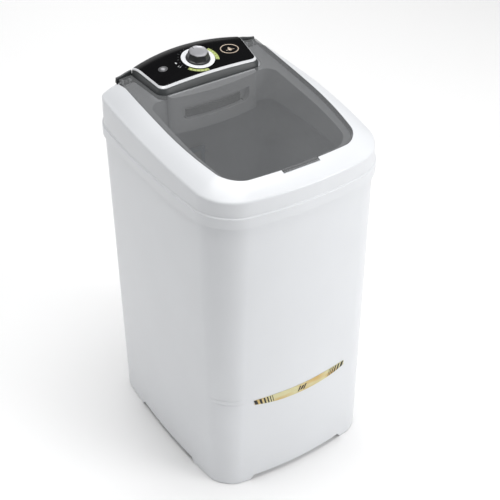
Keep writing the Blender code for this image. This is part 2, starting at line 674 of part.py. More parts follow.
def make_top_cover(finish):
    def skirt(grow, z):
        return lifted(plan(COVER, grow), z)

    def shoulder(grow, drop):
        return lifted(plan(COVER, grow), lambda x, y: shoulder_z(x, y) - drop)

    def along_frame(share, bulge):
        outer = shoulder(-0.0085, 0.0005)
        inner = lifted(plan(RECESS), rim_edge_z)
        return [a.lerp(b, share) + UP * bulge for a, b in zip(outer, inner)]

    rings = [
        skirt(0, SKIRT_BOTTOM),
        skirt(0, LEDGE_Z - 0.003),
        skirt(-LEDGE_STEP, LEDGE_Z),
        shoulder(-LEDGE_STEP - 0.001, 0.008),
        shoulder(-0.0055, 0.0035),
        along_frame(0, 0),
        along_frame(0.5, 0.0025),
        along_frame(1, 0),
        lifted(plan(RECESS), lambda x, y: recess_z(y)),
        lifted(plan(MOUTH), lambda x, y: recess_z(y)),
        lifted(plan(MOUTH, -0.003), MOUTH_LIP_Z),
        lifted(plan(MOUTH, 0.0005), MOUTH_LIP_Z),
        lifted(plan(MOUTH, WALL), lambda x, y: recess_z(y) - WALL),
        lifted(plan(RECESS, WALL), lambda x, y: recess_z(y) - WALL),
        lifted(plan(RECESS, WALL), lambda x, y: rim_edge_z(x, y) - 0.006),
        shoulder(-0.0115, 0.0045),
        shoulder(-LEDGE_STEP - WALL - 0.001, 0.012),
        skirt(-LEDGE_STEP - WALL, LEDGE_Z - 0.006),
        skirt(-WALL, LEDGE_Z - 0.006),
        skirt(-WALL, SKIRT_BOTTOM),
    ]
    cover = place("top_cover", lofted(rings, closed=True), finish["white"])
    bay = block((-DISPENSER_HALF_WIDTH - 0.002, DISPENSER_HALF_WIDTH + 0.002), (0.09, DISPENSER_BACK + 0.002),
                (0.90, 1.06))
    combine(cover, "DIFFERENCE", cutter("dispenser_bay", bay))
    room = 0.0015
    notch = block((-TAB_HALF_WIDTH - room, TAB_HALF_WIDTH + room), (LID_FRONT - TAB_REACH - room, LID_FRONT + 0.004),
                  (lambda x, y: lid_z(y) - LID_THICK - 0.0036, lambda x, y: lid_z(y) + 0.03))
    combine(cover, "DIFFERENCE", cutter("finger_notch", notch))
    for side, sign in (("left", -1), ("right", 1)):
        for place_name, offset in (("inner", -1), ("outer", 1)):
            centre = sign * HINGE_X + offset * (KNUCKLE_LENGTH / 2 + 0.0005 + EAR_THICK / 2)
            ear = hinge_ear(centre)
            combine(cover, "UNION", cutter(f"hinge_ear_{side}_{place_name}", ear))
        hole = lay_along_x(turned(rod(HINGE_PIN_RADIUS + CLEAR, -0.016, 0.016)), sign * HINGE_X, HINGE_Y, hinge_z())
        combine(cover, "DIFFERENCE", cutter(f"ear_bore_{side}", hole))
    for side, sign in (("left", -1), ("right", 1)):
        x = sign * 0.125
        y = LID_FRONT + 0.0055
        pad = block((x - 0.007, x + 0.007), (y - 0.0005, y + 0.005),
                    (lambda x, y: recess_z(y) + CLEAR, lambda x, y: lid_z(y) - LID_RIM - CLEAR))
        place(f"lid_buffer_{side}", pad, finish["rubber"])


def hinge_z():
    return lid_z(HINGE_Y) - HINGE_DROP


def hinge_ear(x):
    """A lug with a round top, standing on the recess's floor."""
    steps = 8
    arc = [math.radians(180 * i / steps) for i in range(steps + 1)]
    section = [(EAR_RADIUS * math.cos(a), EAR_RADIUS * math.sin(a)) for a in arc]
    section += [(-EAR_RADIUS, -(RECESS_DEPTH - HINGE_DROP) - 0.0015), (EAR_RADIUS, -(RECESS_DEPTH - HINGE_DROP) - 0.0015)]
    rings = [[Vector((x + side, HINGE_Y + y, hinge_z() + z)) for y, z in section]
             for side in (-EAR_THICK / 2, EAR_THICK / 2)]
    return lofted(rings)


def make_lid(finish):
    def ring(grow, drop):
        return lifted(plan(LID, grow), lambda x, y: lid_z(y) - drop)
    pan = lofted([ring(-WALL, LID_THICK), ring(-WALL, LID_RIM), ring(0, LID_RIM), ring(0, 0)])
    lid = place("lid", pan, finish["smoke"])
    opening = console_edge(CONSOLE_FLARE + LID_OPEN_GAP, back_to=0.32)
    gap = lofted([lifted(opening, 0.95), lifted(opening, 1.15)])
    combine(lid, "DIFFERENCE", cutter("console_gap", gap))
    tab = block((-TAB_HALF_WIDTH, TAB_HALF_WIDTH), (LID_FRONT - TAB_REACH, LID_FRONT + 0.006),
                (lambda x, y: lid_z(y) - LID_THICK, lambda x, y: lid_z(y) - 0.0002))
    combine(lid, "UNION", cutter("finger_tab", tab))
    for side, sign in (("left", -1), ("right", 1)):
        low = sign * HINGE_X - 0.0165
        room = block((low, low + 0.033), (HINGE_Y - 0.012, LID_BACK + 0.01),
                     (lambda x, y: lid_z(y) - LID_RIM - 0.01, lambda x, y: lid_z(y) - LID_THICK + EAR_ROOM_CUT))
        combine(lid, "DIFFERENCE", cutter(f"ear_room_{side}", room))
        half = KNUCKLE_LENGTH / 2
        knuckle = turned(sleeve(HINGE_PIN_RADIUS + 0.0004, KNUCKLE_RADIUS, -half, half), closed=True)
        knuckle = lay_along_x(knuckle, sign * HINGE_X, HINGE_Y, hinge_z())
        combine(lid, "UNION", cutter(f"knuckle_{side}", knuckle))
        reach = half + EAR_THICK
        pin = lay_along_x(turned(rod(HINGE_PIN_RADIUS, -reach, reach), steps=16), sign * HINGE_X, HINGE_Y, hinge_z())
        place(f"lid_hinge_pin_{side}", pin, finish["steel"])


# ---------------------------------------------------------------- console, timer and knob

def console_point(u, v, grow=0.0, back_line=(CONSOLE_BACK, CONSOLE_BACK_BOW)):
    """A place on the console: u from -1 at the left to 1, v from 0 at the front to 1 at the back line."""
    half = CONSOLE_HALF_FRONT + (CONSOLE_HALF_BACK - CONSOLE_HALF_FRONT) * v + grow
    radius = max(CONSOLE_CORNER + grow, 0.003)
    into = max(0.0, abs(u) * half - (half - radius)) / radius
    front = CONSOLE_FRONT - grow + radius * (1 - math.sqrt(max(0.0, 1 - into ** 2)))
    back = back_line[0] + grow - back_line[1] * u ** 2
    return Vector((u * half, front + (back - front) * v))


def console_columns():
    """Values of u, closer together towards the ends, where the corners are."""
    count = 14
    return [math.sin(math.pi / 2 * (2 * i / count - 1)) for i in range(count + 1)]


def console_edge(grow=0.0, back_to=None, back_line=(CONSOLE_BACK, CONSOLE_BACK_BOW)):
    """Points round the console, counter-clockwise from the front left. back_to carries the sides straight on."""
    columns = console_columns()
    points = [console_point(u, 0, grow, back_line) for u in columns]
    points += [console_point(1, v, grow, back_line) for v in CONSOLE_ROWS]
    if back_to is None:
        points += [console_point(u, 1, grow, back_line) for u in reversed(columns)]
    else:
        for u in reversed(columns):
            corner = console_point(u, 1, grow, back_line)
            points.append(Vector((corner.x, back_to)))
    points += [console_point(-1, v, grow, back_line) for v in reversed(CONSOLE_ROWS)]
    return points


def make_console(finish):
    def edge(grow, height):
        return lifted(console_edge(grow), height)
    under = PANEL_THICK + 0.0005

    def foot(inset, height):
        bow = LID.end_bows[1] * (CONSOLE_HALF_BACK / LID_HALF_WIDTH) ** 2
        back_line = (CONSOLE_FOOT_BACK - CONSOLE_FLARE, bow)
        return lifted(console_edge(CONSOLE_FLARE - inset, back_line=back_line), height)

    def waist(x, y):
        """Where the foot ends and the console starts to lean: just over the lid, and lower behind it."""
        return lid_z(y) + 0.001 - 0.008 * min(1.0, max(0.0, (y - 0.2) / 0.03))

    rings = [
        foot(0, lambda x, y: recess_z(y) + CLEAR),
        foot(0, waist),
        edge(0, lambda x, y: panel_z(x, y) - under),
        edge(-PANEL_LEDGE, lambda x, y: panel_z(x, y) - under),
        edge(-PANEL_LEDGE, lambda x, y: panel_z(x, y) - under - 0.0025),
        edge(-0.003, lambda x, y: panel_z(x, y) - under - 0.0030),
        foot(WALL, lambda x, y: waist(x, y) - 0.001),
        foot(WALL, lambda x, y: recess_z(y) + CLEAR),
    ]
    housing = place("console_housing", lofted(rings, closed=True), finish["dark"])
    passage = block((-DISPENSER_HALF_WIDTH - 0.002, DISPENSER_HALF_WIDTH + 0.002), (0.09, 0.135),
                    (0.95, lambda x, y: lid_z(y) - 0.005))
    combine(housing, "DIFFERENCE", cutter("dispenser_passage", passage))

    trim = [
        edge(0, lambda x, y: panel_z(x, y) - under + CLEAR),
        edge(0, lambda x, y: panel_z(x, y) - TRIM_DROP),
        lifted(trim_inner(), panel_z),
        lifted(trim_inner(), lambda x, y: panel_z(x, y) - under + CLEAR),
    ]
    place("console_trim", lofted(trim, closed=True), finish["trim"])
    make_panel(finish, under)


def trim_inner(gap=0.0):
    """The edge between trim and panel: the console's own edge, brought in by the trim's width at each side."""
    middle = (CONSOLE_FRONT + CONSOLE_BACK) / 2
    reach = (CONSOLE_BACK - CONSOLE_FRONT) / 2
    x_share = 1 - (TRIM_SIDE + gap) / CONSOLE_HALF_FRONT
    points = []
    for point in console_edge(0):
        width = TRIM_FRONT if point.y < middle else TRIM_BACK
        y_share = 1 - (width + gap) / reach
        points.append(Vector((point.x * x_share, middle + (point.y - middle) * y_share)))
    return points


def make_panel(finish, under):
    """The black plate inside the trim, on the console's ledge, as rows of strips that follow the arch."""
    columns = console_columns()
    edge = trim_inner(CLEAR)
    count = len(columns)
    front = edge[:count]
    behind = count + len(CONSOLE_ROWS)
    back = list(reversed(edge[behind:behind + count]))
    shares = (0, *CONSOLE_ROWS, 1)
    lines = [[near.lerp(far, share) for share in shares] for near, far in zip(front, back)]
    made = bmesh.new()
    layers = []
    for drop in (0.0008, under - 2 * CLEAR):
        layers.append([[made.verts.new((p.x, p.y, panel_z(p.x, p.y) - drop)) for p in line] for line in lines])
    for layer in layers:
        for left, right in zip(layer, layer[1:]):
            for i in range(len(shares) - 1):
                made.faces.new((left[i], right[i], right[i + 1], left[i + 1]))
    top, bottom = layers
    for i in range(count - 1):
        made.faces.new((top[i][0], top[i + 1][0], bottom[i + 1][0], bottom[i][0]))
        made.faces.new((top[i][-1], top[i + 1][-1], bottom[i + 1][-1], bottom[i][-1]))
    for i in range(len(shares) - 1):
        made.faces.new((top[0][i], top[0][i + 1], bottom[0][i + 1], bottom[0][i]))
        made.faces.new((top[-1][i], top[-1][i + 1], bottom[-1][i + 1], bottom[-1][i]))
    panel = place("control_panel", made, finish["panel"])
    hole = turned(rod(TIMER_SHAFT_RADIUS + 0.002, -0.02, 0.02), steps=16)
    hole.transform(knob_frame())
    combine(panel, "DIFFERENCE", cutter("shaft_hole", hole))


def knob_frame():
    """From the knob's own frame, with Z along its axis and 0 on the panel, to the machine's."""
    tilt = math.atan(CONSOLE_TILT)
    return Matrix.Translation((0, KNOB_Y, panel_z(0, KNOB_Y))) @ Matrix.Rotation(tilt, 4, "X")


def make_timer(finish):
    pivot = bpy.data.objects.new("knob_axis", None)
    pivot.matrix_world = knob_frame()
    bpy.context.scene.collection.objects.link(pivot)
    place("dial_ring", turned(sleeve(DIAL_INNER, DIAL_OUTER, CLEAR, 0.0016), closed=True, steps=32),
          finish["white"], pivot)
    bore = TIMER_SHAFT_RADIUS + CLEAR
    knob = [(bore, 0.0012), (KNOB_RADIUS, 0.0012), (KNOB_RADIUS, 0.0045), (KNOB_RADIUS - 0.002, 0.006),
            (KNOB_TOP_RADIUS, KNOB_HEIGHT), (0, KNOB_HEIGHT), (0, 0.0150), (bore, 0.0150)]
    place("timer_knob", turned(knob, closed=True), finish["knob"], pivot)
    low = KNOB_HEIGHT + CLEAR
    cap = [(0, low), (KNOB_CAP_RADIUS, low), (KNOB_CAP_RADIUS, low + KNOB_CAP_THICK - 0.0006),
           (KNOB_CAP_RADIUS - 0.0012, low + KNOB_CAP_THICK), (0, low + KNOB_CAP_THICK)]
    place("knob_cap", turned(cap), finish["silver"], pivot)
    place("timer_shaft", turned(rod(TIMER_SHAFT_RADIUS, -0.014, 0.0145), steps=12), finish["steel"], pivot)
    top = -PANEL_THICK - 0.0045
    half = TIMER_SIZE / 2
    body = place("timer_body", block((-half, half), (-half, half), (top - TIMER_DEPTH, top)), finish["dark"], pivot)
    hole = cutter("timer_shaft_hole", turned(rod(TIMER_SHAFT_RADIUS + CLEAR, top - 0.008, top + 0.01), steps=12))
    hole.parent = pivot
    combine(body, "DIFFERENCE", hole)


# ---------------------------------------------------------------- soap dispenser

def make_dispenser(finish):
    def top(x, y):
        return lid_z(y) - LID_THICK - 0.0025
    shell = lofted([lifted(plan(DISPENSER), DISPENSER_BOTTOM), lifted(plan(DISPENSER), top)])
    housing = place("dispenser_housing", shell, finish["inner"])
    upper = lofted([lifted(plan(DISPENSER, -WALL), DISPENSER_SHELF),
                    lifted(plan(DISPENSER, -WALL), lambda x, y: top(x, y) - WALL)])
    lower = lofted([lifted(plan(DISPENSER, -WALL), 0.90), lifted(plan(DISPENSER, -WALL), DISPENSER_SHELF - WALL)])
    combine(housing, "DIFFERENCE", cutter("dispenser_upper_room", upper))
    combine(housing, "DIFFERENCE", cutter("dispenser_lower_room", lower))
    combine(housing, "DIFFERENCE", cutter("dispenser_slot", slot_prism()))
    for i in range(5):
        x = -0.06 + 0.03 * i
        hole = moved(turned(rod(0.004, 0.93, 0.97), steps=12), x, (DISPENSER_FRONT + DISPENSER_BACK) / 2)
        combine(housing, "DIFFERENCE", cutter(f"water_hole_{i}", hole))
    low = DISPENSER_SHELF + CLEAR
    tray = lofted([
        lifted(plan(TRAY, -TRAY_WALL), low + TRAY_WALL),
        lifted(plan(TRAY, -TRAY_WALL), low + TRAY_HEIGHT),
        lifted(plan(TRAY), low + TRAY_HEIGHT),
        lifted(plan(TRAY), low),
    ])
    place("dispenser_tray", tray, finish["dark"])


def slot_prism():
    """The dispenser's mouth: a wide slot with round lower corners, cut through the front wall."""
    radius = 0.020
    half = SLOT_HALF_WIDTH
    steps = 5
    section = [(-half, SLOT_TOP)]
    for sign, start in ((-1, 180), (1, 270)):
        for i in range(steps + 1):
            angle = math.radians(start + 90 * i / steps)
            section.append((sign * (half - radius) + radius * math.cos(angle),
                            DISPENSER_SHELF + radius + radius * math.sin(angle)))
    section.append((half, SLOT_TOP))
    rings = [[Vector((x, y, z)) for x, z in section] for y in (0.06, 0.112)]
    return lofted(rings)


# ---------------------------------------------------------------- agitator drive

def make_drive(finish):
    under = TUB_FLOOR - TUB_FLOOR_THICK - CLEAR
    bore = BEARING_OUTER + CLEAR
    housing = [(bore, HOUSING_BOTTOM), (HOUSING_RADIUS, HOUSING_BOTTOM), (HOUSING_RADIUS + 0.002, under - 0.012),
               (HOUSING_FLANGE, under - 0.005), (HOUSING_FLANGE, under), (bore, under)]
    place("bearing_housing", turned(housing, closed=True), finish["steel"])
    running = SHAFT_RADIUS + CLEAR
    for name, low in (("lower_bearing", HOUSING_BOTTOM + 0.002), ("upper_bearing", HOUSING_BOTTOM + 0.018)):
        place(name, turned(sleeve(running, BEARING_OUTER, low, low + BEARING_HEIGHT), closed=True), finish["steel"])
    low = HOUSING_BOTTOM + 0.0295
    place("shaft_seal", turned(sleeve(running, BEARING_OUTER, low, TUB_FLOOR - 0.001), closed=True),
          finish["rubber"])
    place("agitator_shaft", turned(rod(SHAFT_RADIUS, SHAFT_BOTTOM, SHAFT_TOP), steps=16), finish["steel"])
    make_agitator(finish)
    make_pulleys(finish)


def make_agitator(finish):
    low = TUB_FLOOR + AGITATOR_LIFT
    bore = SHAFT_RADIUS + CLEAR
    profile = [(bore, low), (AGITATOR_RADIUS - 0.004, low), (AGITATOR_RADIUS, low + 0.003),
               (AGITATOR_RADIUS - 0.003, low + 0.007), (0.110, low + 0.010), (0.055, low + 0.024),
               (0.036, AGITATOR_HUB_TOP - 0.004), (0.030, AGITATOR_HUB_TOP), (0, AGITATOR_HUB_TOP),
               (0, SHAFT_TOP + 0.001), (bore, SHAFT_TOP + 0.001)]
    agitator = place("agitator", turned(profile, closed=True, steps=32), finish["blue"])
    for number in range(VANE_COUNT):
        combine(agitator, "UNION", cutter(f"vane_{number}", vane(math.tau * number / VANE_COUNT)))
    low = AGITATOR_HUB_TOP + CLEAR
    cap = [(0, low), (0.028, low), (0.026, low + 0.006), (0.015, low + 0.011), (0, low + 0.0125)]
    place("agitator_cap", turned(cap), finish["white"])


def vane(angle):
    """A low blade that leans back as it runs outwards, thinner at its top."""
    rings = []
    for radius, top, half in ((0.026, VANE_TOP - 0.006, 0.009), (0.070, VANE_TOP, 0.008),
                              (0.115, VANE_TOP - 0.008, 0.007), (0.156, VANE_TOP - 0.034, 0.005)):
        sweep = angle + 0.35 * (radius / AGITATOR_RADIUS) ** 2
        out = Vector((math.cos(sweep), math.sin(sweep), 0))
        side = Vector((-out.y, out.x, 0))
        low = TUB_FLOOR + AGITATOR_LIFT + 0.002
        rings.append([out * radius - side * half * 1.5 + UP * low, out * radius + side * half * 1.5 + UP * low,
                      out * radius + side * half * 0.6 + UP * top, out * radius - side * half * 0.6 + UP * top])
    return lofted(rings)


def pulley(seat, bore, hub, hub_low, hub_high, web):
    """A grooved wheel: its belt seat is at BELT_Z, its hub runs from hub_low to hub_high."""
    half = BELT_HEIGHT / 2 + 0.001
    lip = 0.003
    edge = seat + BELT_THICK + 0.002
    floor = seat - CLEAR
    profile = [(bore, hub_low), (hub, hub_low), (hub, BELT_Z - web / 2), (floor - 0.008, BELT_Z - web / 2),
               (floor - 0.006, BELT_Z - half - lip), (edge, BELT_Z - half - lip), (edge, BELT_Z - half - 0.001),
               (floor, BELT_Z - half), (floor, BELT_Z + half), (edge, BELT_Z + half + 0.001),
               (edge, BELT_Z + half + lip), (floor - 0.006, BELT_Z + half + lip), (floor - 0.008, BELT_Z + web / 2),
               (hub, BELT_Z + web / 2), (hub, hub_high), (bore, hub_high)]
    return turned(profile, closed=True, steps=32)


def make_pulleys(finish):
    bore = SHAFT_RADIUS + CLEAR
    place("driven_pulley", pulley(DRIVEN_RADIUS, bore, 0.016, BELT_Z - 0.013, BELT_Z + 0.014, 0.006), finish["steel"])
    nut_low = SHAFT_BOTTOM + 0.001
    nut = turned(sleeve(bore / math.cos(math.pi / 6), 0.011, nut_low, nut_low + 0.008), closed=True, steps=6)
    place("pulley_nut", nut, finish["steel"])
    small = [(bore, BELT_Z - 0.011), (0.0285, BELT_Z - 0.011), (0.0285, BELT_Z - 0.007),
             (MOTOR_PULLEY_RADIUS - CLEAR, BELT_Z - 0.006), (MOTOR_PULLEY_RADIUS - CLEAR, BELT_Z + 0.006),
             (0.0285, BELT_Z + 0.007), (0.0285, BELT_Z + 0.010), (bore, BELT_Z + 0.010)]
    place("motor_pulley", moved(turned(small, closed=True), 0, MOTOR_Y), finish["steel"])
    place("drive_belt", make_belt(), finish["rubber"])


def make_belt():
    """A loop round both pulleys: two arcs and the straight runs that touch them."""
    def loop(extra):
        big = DRIVEN_RADIUS + extra
        small = MOTOR_PULLEY_RADIUS + extra
        lean = math.asin((big - small) / MOTOR_Y)
        points = []
        for i in range(33):
            angle = math.pi - lean + (math.pi + 2 * lean) * i / 32
            points.append(Vector((big * math.cos(angle), big * math.sin(angle))))
        for i in range(13):
            angle = lean + (math.pi - 2 * lean) * i / 12
            points.append(Vector((small * math.cos(angle), MOTOR_Y + small * math.sin(angle))))
        return points

    low = BELT_Z - BELT_HEIGHT / 2
    high = BELT_Z + BELT_HEIGHT / 2
    inner = loop(CLEAR)
    outer = loop(BELT_THICK)
    rings = [lifted(inner, low), lifted(outer, low), lifted(outer, high), lifted(inner, high)]
    return lofted(rings, closed=True)


def make_motor(finish):
    top = MOTOR_TOP
    low = MOTOR_TOP - MOTOR_HEIGHT
    bore = SHAFT_RADIUS + 0.001
    room = ROTOR_RADIUS + 0.001
    case = [(bore, low), (MOTOR_RADIUS - 0.012, low), (MOTOR_RADIUS, low + 0.014), (MOTOR_RADIUS, top - 0.014),
            (MOTOR_RADIUS - 0.012, top), (bore, top), (bore, top - 0.008), (room, top - 0.008),
            (room, low + 0.008), (bore, low + 0.008)]
    place("motor_case", moved(turned(case, closed=True), 0, MOTOR_Y), finish["motor"])
    shaft_top = BELT_Z + 0.014
    rotor = [(0, low - 0.018), (SHAFT_RADIUS, low - 0.018), (SHAFT_RADIUS, low + 0.012), (ROTOR_RADIUS, low + 0.012),
             (ROTOR_RADIUS, top - 0.012), (SHAFT_RADIUS, top - 0.012), (SHAFT_RADIUS, shaft_top), (0, shaft_top)]
    place("motor_rotor", moved(turned(rotor), 0, MOTOR_Y), finish["steel"])
    fan_hub = turned(sleeve(SHAFT_RADIUS + CLEAR, 0.014, low - 0.016, low - 0.003), closed=True)
    fan = place("motor_fan", moved(fan_hub, 0, MOTOR_Y), finish["dark"])
    for number in range(6):
        blade = block((0.012, 0.046), (-0.0012, 0.0012), (low - 0.014, low - 0.005))
        blade.transform(Matrix.Translation((0, MOTOR_Y, 0)) @ Matrix.Rotation(math.tau * number / 6, 4, "Z"))
        combine(fan, "UNION", cutter(f"fan_blade_{number}", blade))
    make_bracket(finish)
    can = turned([(0, 0), (0.0175, 0), (0.0175, 0.062), (0, 0.062)])
    place("capacitor", lay_along_x(can, -0.205, 0.10, 0.080), finish["silver"])
    strap = turned(sleeve(0.0175 + CLEAR, 0.0200, -0.008, 0.008), closed=True)
    strap = place("capacitor_clamp", lay_along_x(strap, -0.174, 0.10, 0.080), finish["steel"])
    foot = block((-0.182, -0.166), (0.088, 0.112), (BOTTOM_PANEL_Z + WALL + CLEAR, 0.0615))
    combine(strap, "UNION", cutter("clamp_foot", foot))


def make_bracket(finish):
    """A steel plate that carries the motor, on four posts under the tub's floor."""
    low = MOTOR_TOP + CLEAR
    high = low + BRACKET_THICK
    near = DRIVEN_RADIUS + BELT_THICK + 0.006
    plate = place("motor_bracket", block((-BRACKET_HALF_WIDTH, BRACKET_HALF_WIDTH), (near, 0.222), (low, high)),
                  finish["steel"])
    hole = cutter("bracket_hole", moved(turned(rod(0.016, 0.20, 0.26)), 0, MOTOR_Y))
    combine(plate, "DIFFERENCE", hole)
    for number, (x, y) in enumerate(((-1, near + 0.006), (1, near + 0.006), (-1, 0.214), (1, 0.214))):
        middle = x * (BRACKET_HALF_WIDTH - 0.006)
        post = block((middle - 0.006, middle + 0.006), (y - 0.0055, y + 0.0055),
                     (low + 0.001, TUB_FLOOR - TUB_FLOOR_THICK - CLEAR))
        combine(plate, "UNION", cutter(f"bracket_post_{number}", post))


def main():
    for old in list(bpy.data.objects):
        bpy.data.objects.remove(old)
    finish = make_materials()
    make_cabinet(finish)
    make_access_cover(finish)
    make_bottom_panel(finish)
    make_front_badge(finish)
    make_rear_fittings(finish)
    make_tub(finish)
    make_drain(finish)
    make_lint_filter(finish)
    make_top_cover(finish)
    make_lid(finish)
    make_console(finish)
    make_timer(finish)
    make_dispenser(finish)
    make_drive(finish)
    make_motor(finish)


main()
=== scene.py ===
"""Looks for the tub washing machine.

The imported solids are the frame. Over it come the moulded cabinet and top cover, the smoked lid, the console
with its dial and knob, the soap dispenser, the wash tub and its agitator, and the label strip on the front.
The works under the tub keep their solids and get their finishes here. All is in metres; the front faces -Y.
"""

import math
from collections import namedtuple

import bmesh
import bpy
from mathutils import Matrix, Vector


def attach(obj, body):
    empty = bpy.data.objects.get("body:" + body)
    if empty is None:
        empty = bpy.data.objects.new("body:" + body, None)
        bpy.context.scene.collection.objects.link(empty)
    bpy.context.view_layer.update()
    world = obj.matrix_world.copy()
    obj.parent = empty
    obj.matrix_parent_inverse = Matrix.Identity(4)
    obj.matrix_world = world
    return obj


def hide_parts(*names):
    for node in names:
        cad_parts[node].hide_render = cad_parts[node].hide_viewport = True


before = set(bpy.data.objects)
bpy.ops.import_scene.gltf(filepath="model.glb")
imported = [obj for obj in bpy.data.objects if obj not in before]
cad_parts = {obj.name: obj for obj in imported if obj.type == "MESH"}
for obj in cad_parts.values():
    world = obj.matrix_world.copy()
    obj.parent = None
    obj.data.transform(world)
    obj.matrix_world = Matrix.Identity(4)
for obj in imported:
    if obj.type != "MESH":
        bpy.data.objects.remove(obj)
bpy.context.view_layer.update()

bl_info = {
    "name": "Tub washing machine",
    "version": (1, 0, 0),
    "blender": (4, 5, 0),
    "location": "3D View > Sidebar > Washer",
    "description": "Builds the washing machine's shells, panel, dial and wash tub over its solids",
    "category": "Object",
}

# ---------------------------------------------------------------- sizes that the solids fix, in metres

WALL = 0.003
GAP = 0.0003
UP = Vector((0, 0, 1))

Outline = namedtuple("Outline", "half_width front back corners side_bows end_bows")

COVER = Outline(0.276, -0.341, 0.341, (0.092, 0.092), (0.022, 0.022), (0.033, 0.033))
LID = Outline(0.2168, -0.283, 0.2405, (0.055, 0.006), (0.030, 0.005), (0.012, 0.0115))
RECESS = Outline(0.2183, -0.2845, 0.245, (0.055, 0.010), (0.030, 0.005), (0.012, 0.0115))
MOUTH = Outline(0.192, -0.2625, 0.118, (0.050, 0.030), (0.020, 0.004), (0.010, 0.0))
BASE = Outline(0.2602, -0.3176, 0.281, (0.061, 0.061), (0.020, 0.020), (0.030, 0.0))
RIM = Outline(0.2686, -0.334, 0.313, (0.088, 0.088), (0.021, 0.021), (0.032, 0.0))
TUB_RIM = Outline(0.240, -0.308, 0.286, (0.10, 0.10), (0.015, 0.008), (0.025, 0.0))
TUB_BED = Outline(0.222, -0.272, 0.248, (0.10, 0.10), (0.015, 0.008), (0.020, 0.0))
DISPENSER = Outline(0.132, 0.086, 0.142, (0.012, 0.004), (0.0, 0.0), (0.014, 0.0))
TRAY = Outline(0.085, 0.098, 0.137, (0.010, 0.006), (0.0, 0.0), (0.008, 0.0))

CABINET_BOTTOM = 0.0015
CABINET_TOP = 0.9107
SKIRT_BOTTOM = 0.889
LEDGE_Z = 0.9205
LEDGE_STEP = 0.0035
ARCH_HEIGHT = 0.0165
ARCH_SLANT = 0.013
FRONT_ARCH = (-0.145, 0.145)
SIDE_ARCH = (-0.150, 0.120)
SEAM_HEIGHTS = (0.304, 0.320)      # two shallow lines pressed in the front's left corner
SEAM_REACH = (-0.252, -0.168)

LID_THICK = 0.003
LID_RIM = 0.013
LID_FRONT = -0.283
HINGE = Vector((0.192, 0.227, 1.03767))
MOUTH_LIP_Z = 0.925
TAB_HALF = 0.052
TAB_REACH = 0.0095

CONSOLE_FRONT = 0.1195
CONSOLE_BACK = 0.265
CONSOLE_HALF_FRONT = 0.150
CONSOLE_HALF_BACK = 0.1645
CONSOLE_CORNER = 0.018
CONSOLE_FLARE = 0.006
CONSOLE_BOW = 0.022
CONSOLE_TILT = 0.16
PANEL_DROP = 0.0008
PANEL_UNDER = 0.0065
TRIM_FRONT = 0.0046
TRIM_SIDE = 0.0034
TRIM_BACK = 0.002
KNOB_Y = 0.182
LAMP_AT = (-0.1035, 0.186)
EMBLEM_AT = (0.101, 0.187)

DISPENSER_BOTTOM = 0.918
DISPENSER_SHELF = 0.9525
SLOT_HALF = 0.1035
SLOT_TOP = 0.9925
SLOT_ROUND = 0.020

TUB_FLOOR = 0.315
BADGE_HALF = 0.1475
BADGE_Z = 0.290
BADGE_HEIGHT = 0.028
BADGE_SMILE = 0.010

CORNER_STEPS = 14
SIDE_STEPS = 12

CAMERA_TARGET = Vector((0, 0, 0.46))
CAMERA_TURN = math.radians(-33.376)
CAMERA_RISE = math.radians(36.652)
CAMERA_ASIDE = 0.03616
CAMERA_UP = 0.07507
CAMERA_AWAY = 3.4576
LENS_MM = 88.51
WORLD_STRENGTH = 0.30


# ---------------------------------------------------------------- outlines and heights

def plan(shape, grow=0.0):
    """Points round a rectangle with round corners and bowed sides, counter-clockwise from the right side."""
    half = shape.half_width + grow
    front = shape.front - grow
    back = shape.back + grow
    middle = (front + back) / 2
    reach = (back - front) / 2
    arcs = []
    for turn, (side_x, side_y) in enumerate(((1, 1), (-1, 1), (-1, -1), (1, -1))):
        radius = max(shape.corners[1 if side_y > 0 else 0] + grow, 0.001)
        centre = Vector((side_x * (half - radius), middle + side_y * (reach - radius)))
        angles = [math.radians(90 * (turn + step / CORNER_STEPS)) for step in range(CORNER_STEPS + 1)]
        arcs.append([centre + radius * Vector((math.cos(a), math.sin(a))) for a in angles])
    points = []
    for arc, following in zip(arcs, arcs[1:] + arcs[:1]):
        points += arc
        points += [arc[-1].lerp(following[0], step / SIDE_STEPS) for step in range(1, SIDE_STEPS)]
    bowed = []
    for x, y in points:
        across = x / half
        along = (y - middle) / reach
        end = 1 if along > 0 else 0
        bowed.append(Vector((x - across * shape.side_bows[end] * along ** 2,
                             y - along * shape.end_bows[end] * across ** 2)))
    return bowed


def between(low, high, share):
    """The outline a share of the way from one to the other."""
    def mix(a, b):
        return a + (b - a) * share
    return Outline(mix(low.half_width, high.half_width), mix(low.front, high.front), mix(low.back, high.back),
                   tuple(map(mix, low.corners, high.corners)), tuple(map(mix, low.side_bows, high.side_bows)),
                   tuple(map(mix, low.end_bows, high.end_bows)))


def ramp(value, low, high):
    """0 up to low, 1 from high on, and a smooth rise between."""
    share = min(1.0, max(0.0, (value - low) / (high - low)))
    return share * share * (3 - 2 * share)


def lifted(points, height):
    """The flat points raised to height, which is a number or a function of x and y."""
    if callable(height):
        return [Vector((x, y, height(x, y))) for x, y in points]
    return [Vector((x, y, height)) for x, y in points]


def cabinet_outline(z):
    return between(BASE, RIM, z / CABINET_TOP)


def lid_z(y):
    return 1.0205 + 0.11 * y


def recess_z(y):
    return lid_z(y) - 0.017


def shoulder_z(x, y):
    """The cover's outer edge: level at the front, a rise that slows down, then a fall round the back."""
    share = (y + COVER.back) / (2 * COVER.back)
    rise = 0.0375 * math.sin(math.pi / 2 * max(0.0, (share - 0.09) / 0.8))
    behind = min(1.0, max(0.0, (share - 0.867) / 0.11))
    fall = 0.034 * behind ** 1.5 * (0.25 + 0.75 * (x / (0.74 * COVER.half_width)) ** 2)
    return 0.9635 + rise - fall


